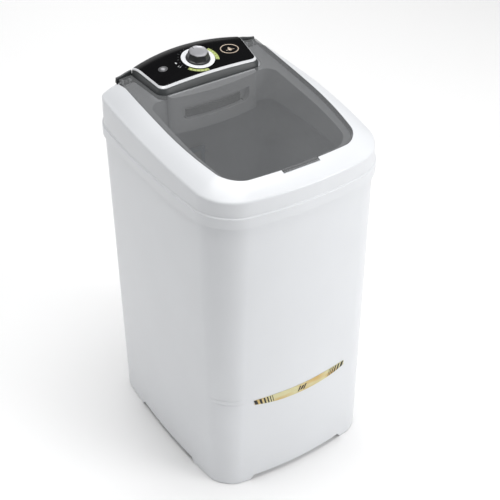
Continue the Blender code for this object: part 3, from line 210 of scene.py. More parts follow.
def rim_edge_z(x, y):
    """The recess's upper edge: level with the lid, and lower behind the hinges."""
    return lid_z(y) - 0.0135 * min(1.0, max(0.0, (y - HINGE.y + 0.022) / 0.025))


def panel_z(x, y):
    """The control panel's upper face: tilted, arched from side to side, and rolled down along its back."""
    across = x / CONSOLE_HALF_BACK
    past = max(0.0, (y - CONSOLE_BACK + CONSOLE_BOW * across ** 2) / 0.035 + 1)
    return 1.029 + CONSOLE_TILT * y + 0.008 * (1 - across ** 2) - 0.010 * past ** 2


def console_point(u, v, grow=0.0, back=CONSOLE_BACK, bow=CONSOLE_BOW):
    """A place on the console: u from -1 at the left to 1, v from 0 at the front to 1 at the back line."""
    half = CONSOLE_HALF_FRONT + (CONSOLE_HALF_BACK - CONSOLE_HALF_FRONT) * v + grow
    radius = max(CONSOLE_CORNER + grow, 0.003)
    into = max(0.0, abs(u) * half - (half - radius)) / radius
    front = CONSOLE_FRONT - grow + radius * (1 - math.sqrt(max(0.0, 1 - into ** 2)))
    return Vector((u * half, front + (back + grow - bow * u ** 2 - front) * v))


def console_columns():
    """Values of u, closer together towards the ends, where the corners are."""
    count = 36
    return [math.sin(math.pi / 2 * (2 * i / count - 1)) for i in range(count + 1)]


CONSOLE_ROWS = (0.15, 0.3, 0.45, 0.6, 0.68, 0.76, 0.82, 0.88, 0.94)


def console_edge(grow=0.0, back_to=None, **line):
    """Points round the console, counter-clockwise from the front left. back_to carries the sides on to a y."""
    columns = console_columns()
    points = [console_point(u, 0, grow, **line) for u in columns]
    points += [console_point(1, v, grow, **line) for v in CONSOLE_ROWS]
    for u in reversed(columns):
        corner = console_point(u, 1, grow, **line)
        points.append(corner if back_to is None else Vector((corner.x, back_to)))
    return points + [console_point(-1, v, grow, **line) for v in reversed(CONSOLE_ROWS)]


def brought_in(point, gap=0.0):
    """A point of the console's edge moved in by the width of the trim there."""
    middle = (CONSOLE_FRONT + CONSOLE_BACK) / 2
    reach = (CONSOLE_BACK - CONSOLE_FRONT) / 2
    width = TRIM_FRONT if point.y < middle else TRIM_BACK
    return Vector((point.x * (1 - (TRIM_SIDE + gap) / CONSOLE_HALF_FRONT),
                   middle + (point.y - middle) * (1 - (width + gap) / reach)))


def plate_point(u, v, gap=0.0):
    """A place on the plate inside the trim, gap short of it at the edges."""
    return brought_in(console_point(u, 0), gap).lerp(brought_in(console_point(u, 1), gap), v)


def plate_edge(gap=0.0):
    """Points round the plate, in step with console_edge."""
    columns = console_columns()
    return ([plate_point(u, 0, gap) for u in columns] + [plate_point(1, v, gap) for v in CONSOLE_ROWS]
            + [plate_point(u, 1, gap) for u in reversed(columns)]
            + [plate_point(-1, v, gap) for v in reversed(CONSOLE_ROWS)])


def knob_frame():
    """From the knob's own frame, with Z along its axis and 0 on the panel, to the machine's."""
    return (Matrix.Translation((0, KNOB_Y, panel_z(0, KNOB_Y)))
            @ Matrix.Rotation(math.atan(CONSOLE_TILT), 4, "X"))


# ---------------------------------------------------------------- mesh helpers

class Shell:
    """A bmesh grown ring by ring from a circle. The layer named turn numbers the vertices round each ring."""

    def __init__(self, places):
        self.made = bmesh.new()
        self.turn = self.made.verts.layers.int.new("turn")
        self.verts = bmesh.ops.create_circle(self.made, segments=len(places), radius=1.0)["verts"]
        for number, vert in enumerate(self.verts):
            vert[self.turn] = number
        self.edges = list(self.made.edges)
        self.first = places
        self.first_edges = self.edges
        self.put(places)

    def put(self, places):
        for vert in self.verts:
            vert.co = places[vert[self.turn]]

    def grow(self, *rings):
        for places in rings:
            found = bmesh.ops.extrude_edge_only(self.made, edges=self.edges)["geom"]
            self.verts = [item for item in found if isinstance(item, bmesh.types.BMVert)]
            fresh = set(self.verts)
            self.edges = [item for item in found
                          if isinstance(item, bmesh.types.BMEdge) and fresh.issuperset(item.verts)]
            self.put(places)
        return self

    def closed(self):
        """The bmesh with its last ring carried on to the first and welded there."""
        self.grow(self.first)
        bmesh.ops.remove_doubles(self.made, verts=self.made.verts, dist=1e-6)
        return self.made

    def capped(self):
        """The bmesh with a face over each end."""
        for edges in (self.first_edges, self.edges):
            bmesh.ops.edgeloop_fill(self.made, edges=edges)
        return self.made


def facing_out(made):
    bmesh.ops.recalc_face_normals(made, faces=made.faces)
    if made.calc_volume(signed=True) < 0:
        bmesh.ops.reverse_faces(made, faces=made.faces)
    return made


def facing_up(made):
    bmesh.ops.recalc_face_normals(made, faces=made.faces)
    if sum(face.normal.z * face.calc_area() for face in made.faces) < 0:
        bmesh.ops.reverse_faces(made, faces=made.faces)
    return made


def as_object(name, made):
    mesh = bpy.data.meshes.new(name)
    made.to_mesh(mesh)
    made.free()
    obj = bpy.data.objects.new(name, mesh)
    bpy.context.scene.collection.objects.link(obj)
    return obj


def carve(made, helper, operation="DIFFERENCE"):
    """The bmesh with another taken out of it, or joined to it."""
    target = as_object("carved", facing_out(made))
    tool = as_object("carver", facing_out(helper))
    step = target.modifiers.new("carve", "BOOLEAN")
    step.operation = operation
    step.object = tool
    step.solver = "EXACT"
    bpy.context.view_layer.update()
    result = bmesh.new()
    result.from_object(target, bpy.context.evaluated_depsgraph_get())
    for obj in (target, tool):
        mesh = obj.data
        bpy.data.objects.remove(obj)
        bpy.data.meshes.remove(mesh)
    bmesh.ops.remove_doubles(result, verts=result.verts, dist=2e-6)
    bmesh.ops.dissolve_degenerate(result, edges=result.edges, dist=2e-6)
    return result


def joined(*parts):
    """One bmesh that holds several, each left as it is."""
    whole = bmesh.new()
    for part in parts:
        mesh = bpy.data.meshes.new("part")
        facing_out(part).to_mesh(mesh)
        part.free()
        whole.from_mesh(mesh)
        bpy.data.meshes.remove(mesh)
    return whole


def turned(profile, closed=False, steps=96, angle=math.tau):
    """A bmesh spun round Z from (radius, height) points. An open profile starts and ends on the axis."""
    made = bmesh.new()
    points = [made.verts.new((radius, 0, z)) for radius, z in profile]
    pairs = list(zip(points, points[1:])) + ([(points[-1], points[0])] if closed else [])
    edges = [made.edges.new(pair) for pair in pairs]
    bmesh.ops.spin(made, geom=points + edges, cent=(0, 0, 0), axis=(0, 0, 1), angle=angle, steps=steps,
                   use_merge=angle == math.tau)
    bmesh.ops.remove_doubles(made, verts=made.verts, dist=1e-6)
    return made


def box(x_span, y_span, z_span):
    """A bmesh box from a cube. An end of a span may be a function of the vertex's other places."""
    made = bmesh.new()
    bmesh.ops.create_cube(made, size=2.0)
    for vert in made.verts:
        x, y, z = (span[0] if side < 0 else span[1] for span, side in zip((x_span, y_span, z_span), vert.co))
        y = y(z) if callable(y) else y
        z = z(x, y) if callable(z) else z
        vert.co = (x, y, z)
    return made


def moved(made, *steps):
    """The bmesh after a translation, or any matrices."""
    for step in steps:
        matrix = step if isinstance(step, Matrix) else Matrix.Translation(step)
        bmesh.ops.transform(made, matrix=matrix, verts=made.verts)
    return made


def grid(columns, rows, place):
    """A bmesh sheet of columns by rows, each vertex at place(s, t), s and t from 0 to 1."""
    made = bmesh.new()
    bmesh.ops.create_grid(made, x_segments=columns, y_segments=rows, size=0.5)
    for vert in made.verts:
        vert.co = place(vert.co.x + 0.5, vert.co.y + 0.5)
    return made


def piece(name, made, finish, body="machine", stands_for=(), edge=0.0008, segments=3,
          sheet=0.0, even=True, sharp=30):
    """An object for the finished bmesh, riding on its body. edge is the width of its rounded edges, and sheet
    the thickness that a sheet gets, downwards from its face."""
    if not sheet:
        facing_out(made)
    obj = as_object(name, made)
    obj.data.shade_smooth()
    obj.data.materials.append(finish)
    if sheet:
        step = obj.modifiers.new("thickness", "SOLIDIFY")
        step.thickness = sheet
        step.offset = -1.0
        step.use_even_offset = even
    if edge:
        step = obj.modifiers.new("rounding", "BEVEL")
        step.limit_method = "ANGLE"
        step.angle_limit = math.radians(sharp)
        step.width = edge
        step.segments = segments
        step.use_clamp_overlap = False
        step.harden_normals = True
    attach(obj, body)
    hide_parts(*stands_for)
    return obj


# ---------------------------------------------------------------- finishes

class Value:
    """A number or colour on its way through a finish, with the arithmetic that the finishes use."""

    def __init__(self, finish, socket):
        self.finish = finish
        self.socket = socket

    def math(self, operation, first, second=0.0, clamp=False):
        return self.finish.node("ShaderNodeMath", {"operation": operation, "use_clamp": clamp},
                                {0: first, 1: second})

    def __add__(self, other):
        return self.math("ADD", self, other)

    def __radd__(self, other):
        return self.math("ADD", other, self)

    def __sub__(self, other):
        return self.math("SUBTRACT", self, other)

    def __rsub__(self, other):
        return self.math("SUBTRACT", other, self)

    def __mul__(self, other):
        return self.math("MULTIPLY", self, other)

    def __rmul__(self, other):
        return self.math("MULTIPLY", other, self)

    def __truediv__(self, other):
        return self.math("DIVIDE", self, other)

    def clamped(self):
        return self.math("ADD", self, 0.0, clamp=True)

    def over(self, limit):
        return self.math("GREATER_THAN", self, limit)


class Finish:
    """A material under construction: its nodes, and the sockets of its shader."""

    def __init__(self, name, colour, roughness, metallic=0.0, **shader):
        self.material = bpy.data.materials.new(name)
        self.material.use_nodes = True
        self.tree = self.material.node_tree
        self.shader = self.tree.nodes["Principled BSDF"]
        self.colour = (*colour, 1.0)
        self.roughness = roughness
        self.set("Base Color", self.colour)
        self.set("Roughness", roughness)
        self.set("Metallic", metallic)
        for socket, value in shader.items():
            self.set(socket.replace("_", " "), value)
        self.material.diffuse_color = self.colour
        self.at = self.node("ShaderNodeTexCoord", out="Object")

    def node(self, kind, settings=None, sockets=None, out=0):
        """A node of that type: its settings first, then the values or links of its sockets."""
        made = self.tree.nodes.new(kind)
        for key, value in (settings or {}).items():
            if key == "stops":
                self.set_stops(made.color_ramp, value)
            else:
                setattr(made, key, value)
        for key, value in (sockets or {}).items():
            self.feed(made.inputs[key], value)
        return Value(self, made.outputs[out])

    def set_stops(self, shades, stops):
        """A ramp's two stops, each a place and a shade."""
        for stop, (place, shade) in zip(shades.elements, stops):
            stop.position = place
            stop.color = (shade, shade, shade, 1.0)

    def feed(self, socket, value):
        if isinstance(value, Value):
            self.tree.links.new(value.socket, socket)
        else:
            socket.default_value = value

    def set(self, name, value):
        self.feed(self.shader.inputs[name], value)

    def noise(self, scale, detail=3.0, stretch=None):
        at = self.at
        if stretch:
            at = self.node("ShaderNodeMapping", {}, {"Vector": at, "Scale": stretch})
        return self.node("ShaderNodeTexNoise", {}, {"Vector": at, "Scale": scale, "Detail": detail})

    def ramp(self, value, low, high):
        """0 below low, 1 above high."""
        return self.node("ShaderNodeValToRGB", {"stops": ((low, 0.0), (high, 1.0))}, {"Fac": value})

    def mix(self, share, first, second):
        """One colour over another by a share."""
        return self.node("ShaderNodeMix", {"data_type": "RGBA"}, {0: share, 6: first, 7: second}, out=2)

    def shade(self, factor):
        """The finish's own colour made lighter or darker."""
        return (*(min(1.0, channel * factor) for channel in self.colour[:3]), 1.0)

    def bump(self, height, strength, distance=0.0005, after=None):
        sockets = {"Height": height, "Strength": strength, "Distance": distance}
        if after:
            sockets["Normal"] = after
        return self.node("ShaderNodeBump", {}, sockets)

    def axes(self):
        """The x, y and z of a place on the piece."""
        parts = self.node("ShaderNodeSeparateXYZ", {}, {0: self.at})
        return [Value(self, parts.socket.node.outputs[i]) for i in range(3)]

    def edges(self, low=0.53, high=0.60):
        """1 on outer edges, broken up as wear is."""
        sharp = self.ramp(self.node("ShaderNodeNewGeometry", out="Pointiness"), low, high)
        return (sharp * (0.35 + self.noise(60.0, 2.0) * 1.1)).clamped()


def moulded(name, colour, roughness, grain=1200.0, depth=0.12, mottle=0.05, wear=1.06, **shader):
    """Injection-moulded plastic: faint flow marks, a fine grain, and edges rubbed a little lighter."""
    made = Finish(name, colour, roughness, **shader)
    flow = made.noise(5.0, 4.0)
    fine = made.noise(grain, 2.0)
    rubbed = made.edges()
    body = made.mix(made.ramp(flow, 0.35, 0.70), made.shade(1 - mottle), made.shade(1 + mottle * 0.4))
    made.set("Base Color", made.mix(rubbed * 0.5, body, made.shade(wear)))
    made.set("Roughness", roughness + (flow - 0.5) * 0.10 + (fine - 0.5) * 0.08 + rubbed * 0.08)
    made.set("Normal", made.bump(fine, depth, 0.0002, made.bump(flow, 0.05, 0.002)))
    return made.material


def metal(name, colour, roughness, stretch=(40.0, 1.0, 1.0), wear=1.2, **shader):
    """Metal with fine parallel scratches, dull patches and bright edges."""
    made = Finish(name, colour, roughness, **shader)
    scratches = made.noise(260.0, 3.0, stretch)
    patches = made.noise(18.0, 3.0)
    rubbed = made.edges()
    body = made.mix(made.ramp(patches, 0.35, 0.7), made.shade(0.86), made.colour)
    made.set("Base Color", made.mix(rubbed * 0.6, body, made.shade(wear)))
    made.set("Roughness", roughness + (scratches - 0.5) * 0.18 + (patches - 0.5) * 0.12 - rubbed * 0.08)
    made.set("Normal", made.bump(scratches, 0.12, 0.0001))
    return made.material


def smoked_plastic(name, colour, opacity):
    """See-through smoked plastic, polished, with hairline scratches and a little dust."""
    made = Finish(name, colour, 0.24, Alpha=opacity, IOR=1.5)
    haze = made.noise(7.0, 4.0)
    hairs = made.noise(420.0, 2.0, (1.0, 14.0, 1.0))
    rubbed = made.edges()
    body = made.mix(made.ramp(haze, 0.3, 0.72), made.shade(0.94), made.shade(1.05))
    made.set("Base Color", made.mix(rubbed * 0.5, body, made.shade(1.25)))
    made.set("Roughness", 0.24 + (haze - 0.5) * 0.14 + (hairs - 0.5) * 0.08)
    made.set("Normal", made.bump(hairs, 0.03, 0.0001, made.bump(haze, 0.03, 0.003)))
    made.set("Alpha", (opacity + (haze - 0.5) * 0.05 + rubbed * 0.1).clamped())
    return made.material


def gloss_film(name, colour, roughness):
    """The panel's glossy printed film: deep colour, finger smears that show only in its gloss."""
    made = Finish(name, colour, roughness, Specular_IOR_Level=0.04)
    smears = made.noise(14.0, 5.0, (1.0, 2.2, 1.0))
    dust = made.ramp(made.noise(900.0, 2.0), 0.62, 0.78)
    made.set("Base Color", made.mix(dust * 0.25, made.colour, (0.05, 0.05, 0.052, 1.0)))
    made.set("Roughness", roughness + (smears - 0.45) * 0.28 + dust * 0.15)
    made.set("Normal", made.bump(smears, 0.02, 0.001))
    return made.material


def print_ink(name, colour, roughness=0.5, **shader):
    """Screen-printed ink: slightly uneven cover."""
    made = Finish(name, colour, roughness, **shader)
    cover = made.noise(700.0, 3.0)
    wide = made.noise(35.0, 2.0)
    worn = made.edges()
    even = made.mix(worn * 0.4, made.shade(1.06), made.shade(1.15))
    made.set("Base Color", made.mix(made.ramp(cover, 0.3, 0.7) * 0.6 + made.ramp(wide, 0.3, 0.7) * 0.4,
                                    made.shade(0.86), even))
    made.set("Roughness", roughness + (cover - 0.5) * 0.2)
    made.set("Normal", made.bump(cover, 0.08, 0.0001))
    return made.material


def gold_foil(name, colour, pale):
    """Label foil: gold that pales in soft bands across the strip, with a brushed grain along it."""
    made = Finish(name, colour, 0.38, 0.35)
    bands = made.noise(9.0, 1.0, (1.6, 0.4, 3.5))
    grain = made.noise(500.0, 2.0, (0.06, 1.0, 1.0))
    rubbed = made.edges()
    body = made.mix(made.ramp(bands, 0.40, 0.62), made.colour, (*pale, 1.0))
    brushed = made.mix(grain * 0.16, body, made.shade(0.6))
    made.set("Base Color", made.mix(rubbed * 0.4, brushed, (*pale, 1.0)))
    made.set("Roughness", 0.34 + (grain - 0.5) * 0.25)
    made.set("Normal", made.bump(grain, 0.10, 0.0001))
    return made.material


def rubber(name, colour):
    """Dull black rubber with a dusty bloom."""
    made = Finish(name, colour, 0.8)
    bloom = made.ramp(made.noise(40.0, 4.0), 0.45, 0.75)
    pores = made.noise(1600.0, 2.0)
    rubbed = made.edges()
    dusty = (bloom * 0.5 + rubbed * 0.3).clamped()
    made.set("Base Color", made.mix(dusty, made.colour, (0.075, 0.072, 0.068, 1.0)))
    made.set("Roughness", 0.78 + (bloom - 0.5) * 0.12)
    made.set("Normal", made.bump(pores, 0.25, 0.0002))
    return made.material


def woven_net(name, colour):
    """Nylon net: threads crossing every 1.6 mm, with holes between them."""
    made = Finish(name, colour, 0.6)
    across, _, height = made.axes()
    pitch = math.tau / 0.0016
    warp = made.node("ShaderNodeMath", {"operation": "COSINE"}, {0: across * pitch})
    weft = made.node("ShaderNodeMath", {"operation": "COSINE"}, {0: height * pitch})
    thread = made.node("ShaderNodeMath", {"operation": "MAXIMUM"}, {0: warp, 1: weft})
    lint = made.ramp(made.noise(45.0, 4.0), 0.48, 0.7)
    made.set("Alpha", (thread.over(0.25) + lint * 0.6 + 0.12).clamped())
    made.set("Base Color", made.mix(lint * 0.6 + made.edges() * 0.2, made.colour, (0.62, 0.60, 0.56, 1.0)))
    made.set("Roughness", 0.6 + lint * 0.25)
    made.set("Normal", made.bump(thread, 0.4, 0.0003))
    return made.material


FINISHES = {}


def make_finishes():
    looks = bpy.context.scene.washer_colours
    FINISHES.update({
        "white": moulded("white_moulding", looks.body, 0.34, mottle=0.02, wear=1.04, Coat_Weight=0.15),
        "inner": moulded("tub_moulding", looks.tub, 0.42, grain=900.0, mottle=0.05),
        "smoke": smoked_plastic("smoked_lid", looks.lid, looks.lid_opacity),
        "dark": moulded("console_moulding", looks.console, 0.42, mottle=0.06, wear=1.25),
        "panel": gloss_film("panel_film", looks.panel, 0.16),
        "trim": moulded("trim_moulding", looks.trim, 0.22, grain=700.0, depth=0.05, wear=1.1, Metallic=0.15),
        "knob": moulded("knob_moulding", looks.knob, 0.34, wear=1.6),
        "silver": metal("satin_silver", (0.42, 0.42, 0.44), 0.34, (1.0, 30.0, 1.0), Metallic=0.55),
        "steel": metal("zinc_steel", (0.52, 0.53, 0.54), 0.38, Metallic=0.9),
        "rubber": rubber("black_rubber", (0.018, 0.018, 0.018)),
        "gold": gold_foil("label_foil", looks.label, (0.66, 0.62, 0.36)),
        "motor": moulded("motor_lacquer", (0.11, 0.12, 0.14), 0.5, grain=400.0, depth=0.3, mottle=0.12,
                         wear=1.8),
        "blue": moulded("agitator_moulding", (0.26, 0.40, 0.56), 0.36, mottle=0.08, wear=1.2),
        "mesh": woven_net("filter_net", (0.50, 0.56, 0.62)),
        "dial": moulded("dial_moulding", (0.80, 0.81, 0.83), 0.3, grain=700.0, depth=0.05),
        "lime": print_ink("lime_ink", looks.arcs),
        # dark finish of the soap tray; the same finish on the dispenser's liner and beds is painted shade in
        # its hollow
        "soap": moulded("tray_moulding_and_painted_shade", (0.030, 0.031, 0.033), 0.5),
        "white_ink": print_ink("pale_ink", (0.60, 0.61, 0.62)),
        "grey_ink": print_ink("grey_ink", (0.10, 0.10, 0.105)),
        "copper_ink": print_ink("warm_ink", (0.58, 0.47, 0.37), 0.35, Metallic=0.3),
        "black_ink": print_ink("black_ink", (0.012, 0.012, 0.010)),
    })


# ---------------------------------------------------------------- sizes and colours that a user changes

def colour_of(name, default, description):
    return bpy.props.FloatVectorProperty(name=name, description=description, default=default, size=3, min=0.0,
                                         max=1.0, subtype="COLOR")


class WasherColours(bpy.types.PropertyGroup):
    body: colour_of("Body", (0.72, 0.735, 0.757), "Cabinet and top cover")
    tub: colour_of("Tub", (0.84, 0.85, 0.87), "Wash tub and dispenser")
    lid: colour_of("Lid", (0.150, 0.154, 0.157), "Smoked plastic of the lid")
    console: colour_of("Console", (0.046, 0.050, 0.052), "Moulding under the panel")
    panel: colour_of("Panel", (0.0035, 0.0035, 0.004), "Film on the control panel")
    trim: colour_of("Trim", (0.78, 0.79, 0.81), "Bright border of the panel")
    knob: colour_of("Knob", (0.020, 0.0205, 0.022), "Grip of the timer knob")
    arcs: colour_of("Arcs", (0.43, 0.50, 0.16), "Printed arcs round the dial")
    label: colour_of("Label", (0.60, 0.40, 0.13), "Foil of the front label")
    floor: colour_of("Floor", (0.93, 0.93, 0.93), "Studio floor")
    lid_opacity: bpy.props.FloatProperty(name="Lid opacity", description="How much the lid hides",
                                         default=0.42, min=0.2, max=1.0, subtype="FACTOR")


def length_of(name, default, low, high, description):
    return bpy.props.FloatProperty(name=name, description=description, default=default, min=low, max=high,
                                   unit="LENGTH")


class WasherSizes(bpy.types.PropertyGroup):
    edge: length_of("Edge rounding", 0.0011, 0.0002, 0.002, "Rounding of the big mouldings' edges")
    seam_depth: length_of("Seam depth", 0.0008, 0.0, 0.002, "Depth of the lines at the front's left corner")
    frame_crown: length_of("Frame crown", 0.0025, 0.0, 0.003, "How far the cover's frame bulges")
    print_lift: length_of("Print lift", 0.0003, 0.0001, 0.0006, "Thickness of the printed marks")
    knob_facets: bpy.props.IntProperty(name="Knob facets", description="Flats round the knob's grip",
                                       default=7, min=5, max=16)
    light: bpy.props.FloatProperty(name="Studio light", description="Strength of the studio lamps",
                                   default=1.0, min=0.1, max=4.0, subtype="FACTOR")


# ---------------------------------------------------------------- cabinet and label

def seam_grow(point, depth):
    """How far in the cabinet's wall lies along a seam: deepest near the corner, fading out at both ends."""
    low, high = SEAM_REACH
    if point.y > 0:
        return 0.0
    return -depth * ramp(point.x, low, low + 0.02) * (1 - ramp(point.x, high - 0.03, high))


def cabinet_ring(z, depth=0.0):
    outside = lifted(plan(cabinet_outline(z)), z)
    if not depth:
        return outside
    inside = lifted(plan(cabinet_outline(z), -0.001), z)
    return [near.lerp(far, -seam_grow(near, depth) / 0.001) for near, far in zip(outside, inside)]


def cut_arches(made):
    """Cuts the gaps between the feet out of the wall's foot, each wider at the floor."""
    def bisect(faces, place, normal):
        geom = list({item for face in faces for item in (*face.verts, *face.edges)}) + faces
        bmesh.ops.bisect_plane(made, geom=geom, dist=1e-6, plane_co=place, plane_no=normal)

    def low_faces(axis):
        return [face for face in made.faces
                if face.calc_center_median().z < ARCH_HEIGHT and abs(face.normal[axis]) > 0.7]

    bisect(list(made.faces), (0, 0, ARCH_HEIGHT), (0, 0, 1))
    doomed = set()
    for along, across, (low, high) in ((0, 1, FRONT_ARCH), (1, 0, SIDE_ARCH)):
        for place, side in ((low, -1), (high, 1)):
            point, normal = [0, 0, ARCH_HEIGHT], [0, 0, side * ARCH_SLANT]
            point[along] = place
            normal[along] = ARCH_HEIGHT
            bisect(low_faces(across), point, normal)
        for face in low_faces(across):
            middle = face.calc_center_median()
            spread = ARCH_SLANT * (1 - middle.z / ARCH_HEIGHT)
            if low - spread < middle[along] < high + spread:
                doomed.add(face)
    bmesh.ops.delete(made, geom=list(doomed), context="FACES")


class WASHER_OT_cabinet(bpy.types.Operator):
    """Build the tapered cabinet, with its foot arches and the seams at its front corner"""

    bl_idname = "washer.cabinet"
    bl_label = "Cabinet"

    def execute(self, context):
        sizes = context.scene.washer_sizes
        rings = []
        for seam in SEAM_HEIGHTS:
            for off in (-0.0012, -0.0003, 0.0003, 0.0012):
                rings.append((seam + off, sizes.seam_depth if abs(off) < 0.001 else 0.0))
        shell = Shell(cabinet_ring(CABINET_BOTTOM))
        shell.grow(cabinet_ring(0.15), *(cabinet_ring(z, depth) for z, depth in rings), cabinet_ring(0.5),
                   cabinet_ring(0.7), cabinet_ring(CABINET_TOP))
        made = shell.made
        bmesh.ops.recalc_face_normals(made, faces=made.faces)
        if sum(face.normal.x * face.calc_center_median().x for face in made.faces) < 0:
            bmesh.ops.reverse_faces(made, faces=made.faces)
        cut_arches(made)
        piece("cabinet_shell", made, FINISHES["white"], stands_for=["cabinet"], sheet=WALL,
              edge=sizes.edge, sharp=50)
        return {"FINISHED"}


def front_wall_y(x, z):
    """The outside of the cabinet's front, read from its outline."""
    shape = cabinet_outline(z)
    points = sorted((p for p in plan(shape) if p.y < 0), key=lambda p: p.x)
    for left, right in zip(points, points[1:]):
        if left.x <= x <= right.x and right.x > left.x:
            return left.y + (right.y - left.y) * (x - left.x) / (right.x - left.x)
    return shape.front


def on_label(along, up, gap):
    """A place on the label: along from -1 at its left end to 1, up from -1 at its lower edge to 1."""
    share = abs(along)
    x = BADGE_HALF * along
    z = BADGE_Z + BADGE_SMILE * share ** 2 + up * BADGE_HEIGHT / 2 * (1 - 0.45 * share ** 3)
    return Vector((x, front_wall_y(x, z) - gap, z))


def label_bar(start, width, slant, gap, low=-0.93, high=0.93):
    """A slanted bar across the label."""
    return grid(2, 6, lambda s, t: on_label(start + width * s + slant * t, low + (high - low) * t, gap))


class WASHER_OT_label(bpy.types.Operator):
    """Build the foil strip low on the front, with its slanted bars and a plain wave mark"""

    bl_idname = "washer.label"
    bl_label = "Label"

    def execute(self, context):
        strip = grid(48, 6, lambda s, t: on_label(2 * s - 1, 2 * t - 1, 0.0011))
        piece("label_strip", face_front(strip), FINISHES["gold"], stands_for=["front_badge"],
              sheet=0.0008, edge=0.0002, segments=2)
        bars = []
        for side in (-1, 1):
            start = 0.985
            for width in (0.085, 0.062, 0.048, 0.036, 0.026, 0.018):
                start -= width
                low = start if side > 0 else -start - width
                bars.append(label_bar(low, width * 0.72, 0.035 * side if side > 0 else -0.035, 0.0013))
                start -= 0.022
        for number, (start, width) in enumerate(((-0.10, 0.030), (-0.045, 0.045), (0.02, 0.030))):
            reach = 0.62 - 0.16 * (number % 2)
            bars.append(label_bar(start, width, 0.05, 0.0013, -reach, reach))
        piece("label_bars", joined_sheets(*bars), FINISHES["black_ink"], sheet=0.0002, edge=0)
        return {"FINISHED"}


def face_front(made):
    bmesh.ops.recalc_face_normals(made, faces=made.faces)
    if sum(face.normal.y for face in made.faces) > 0:
        bmesh.ops.reverse_faces(made, faces=made.faces)
    return made


def joined_sheets(*sheets, turn=face_front):
    """One bmesh that holds several sheets, each facing the same way."""
    whole = bmesh.new()
    for sheet in sheets:
        mesh = bpy.data.meshes.new("sheet")
        turn(sheet).to_mesh(mesh)
        sheet.free()
        whole.from_mesh(mesh)
        bpy.data.meshes.remove(mesh)
    return whole


# ---------------------------------------------------------------- top cover and lid

def hinge_ear(x):
    """A lug with a round top, standing on the recess's floor."""
    radius, thick, foot = 0.0042, 0.004, 0.0105
    made = turned([(0, 0), (radius, 0), (radius, thick), (0, thick)], steps=32)
    moved(made, Matrix.Rotation(math.radians(90), 4, "Y"))
    for vert in made.verts:
        if vert.co.z < -1e-6:
            vert.co = (vert.co.x, math.copysign(radius, vert.co.y) if abs(vert.co.y) > 1e-5 else 0.0, -foot)
    return moved(made, (x - thick / 2, HINGE.y, HINGE.z))


class WASHER_OT_top_cover(bpy.types.Operator):
    """Build the sloping top cover, with its ledge, shoulder, lid recess and the mouth over the tub"""

    bl_idname = "washer.top_cover"
    bl_label = "Top cover"

    def execute(self, context):
        sizes = context.scene.washer_sizes

        def skirt(grow, z):
            return lifted(plan(COVER, grow), z)

        def shoulder(grow, drop):
            return lifted(plan(COVER, grow), lambda x, y: shoulder_z(x, y) - drop)

        def along_frame(share):
            outer = shoulder(-0.0085, 0.0005)
            inner = lifted(plan(RECESS), rim_edge_z)
            bulge = UP * sizes.frame_crown * math.sin(math.pi * share)
            return [a.lerp(b, share) + bulge for a, b in zip(outer, inner)]

        shell = Shell(skirt(0, SKIRT_BOTTOM))
        shell.grow(
            skirt(0, LEDGE_Z - 0.003), skirt(-LEDGE_STEP, LEDGE_Z),
            shoulder(-LEDGE_STEP - 0.001, 0.008), shoulder(-0.0050, 0.0048), shoulder(-0.0062, 0.0023),
            *(along_frame(share) for share in (0, 0.15, 0.35, 0.5, 0.65, 0.85, 1)),
            lifted(plan(RECESS), lambda x, y: recess_z(y)),
            lifted(plan(MOUTH), lambda x, y: recess_z(y)),
            lifted(plan(MOUTH, -0.003), MOUTH_LIP_Z),
            lifted(plan(MOUTH, 0.0005), MOUTH_LIP_Z),
            lifted(plan(MOUTH, WALL), lambda x, y: recess_z(y) - WALL),
            lifted(plan(RECESS, WALL), lambda x, y: recess_z(y) - WALL),
            lifted(plan(RECESS, WALL), lambda x, y: rim_edge_z(x, y) - 0.006),
            shoulder(-0.0115, 0.0045), shoulder(-LEDGE_STEP - WALL - 0.001, 0.012),
            skirt(-LEDGE_STEP - WALL, LEDGE_Z - 0.006), skirt(-WALL, LEDGE_Z - 0.006),
            skirt(-WALL, SKIRT_BOTTOM),
        )
        made = carve(shell.closed(), box((-0.134, 0.134), (0.09, 0.144), (0.90, 1.06)))
        room = 0.0015
        notch = box((-TAB_HALF - room, TAB_HALF + room), (LID_FRONT - TAB_REACH - room, LID_FRONT + 0.004),
                    (lambda x, y: lid_z(y) - LID_THICK - 0.0036, lambda x, y: lid_z(y) + 0.03))
        made = carve(made, notch)
        ears = [hinge_ear(side * HINGE.x + offset * 0.0095) for side in (-1, 1) for offset in (-1, 1)]
        piece("cover_moulding", joined(made, *ears), FINISHES["white"],
              stands_for=["top_cover"], edge=sizes.edge, sharp=32)
        return {"FINISHED"}


def knuckle(side):
    bore, radius, half = 0.0026, 0.0058, 0.007
    made = turned([(bore, -half), (radius, -half), (radius, half), (bore, half)], closed=True, steps=32)
    return moved(made, Matrix.Rotation(math.radians(90), 4, "Y"), (side * HINGE.x, HINGE.y, HINGE.z))


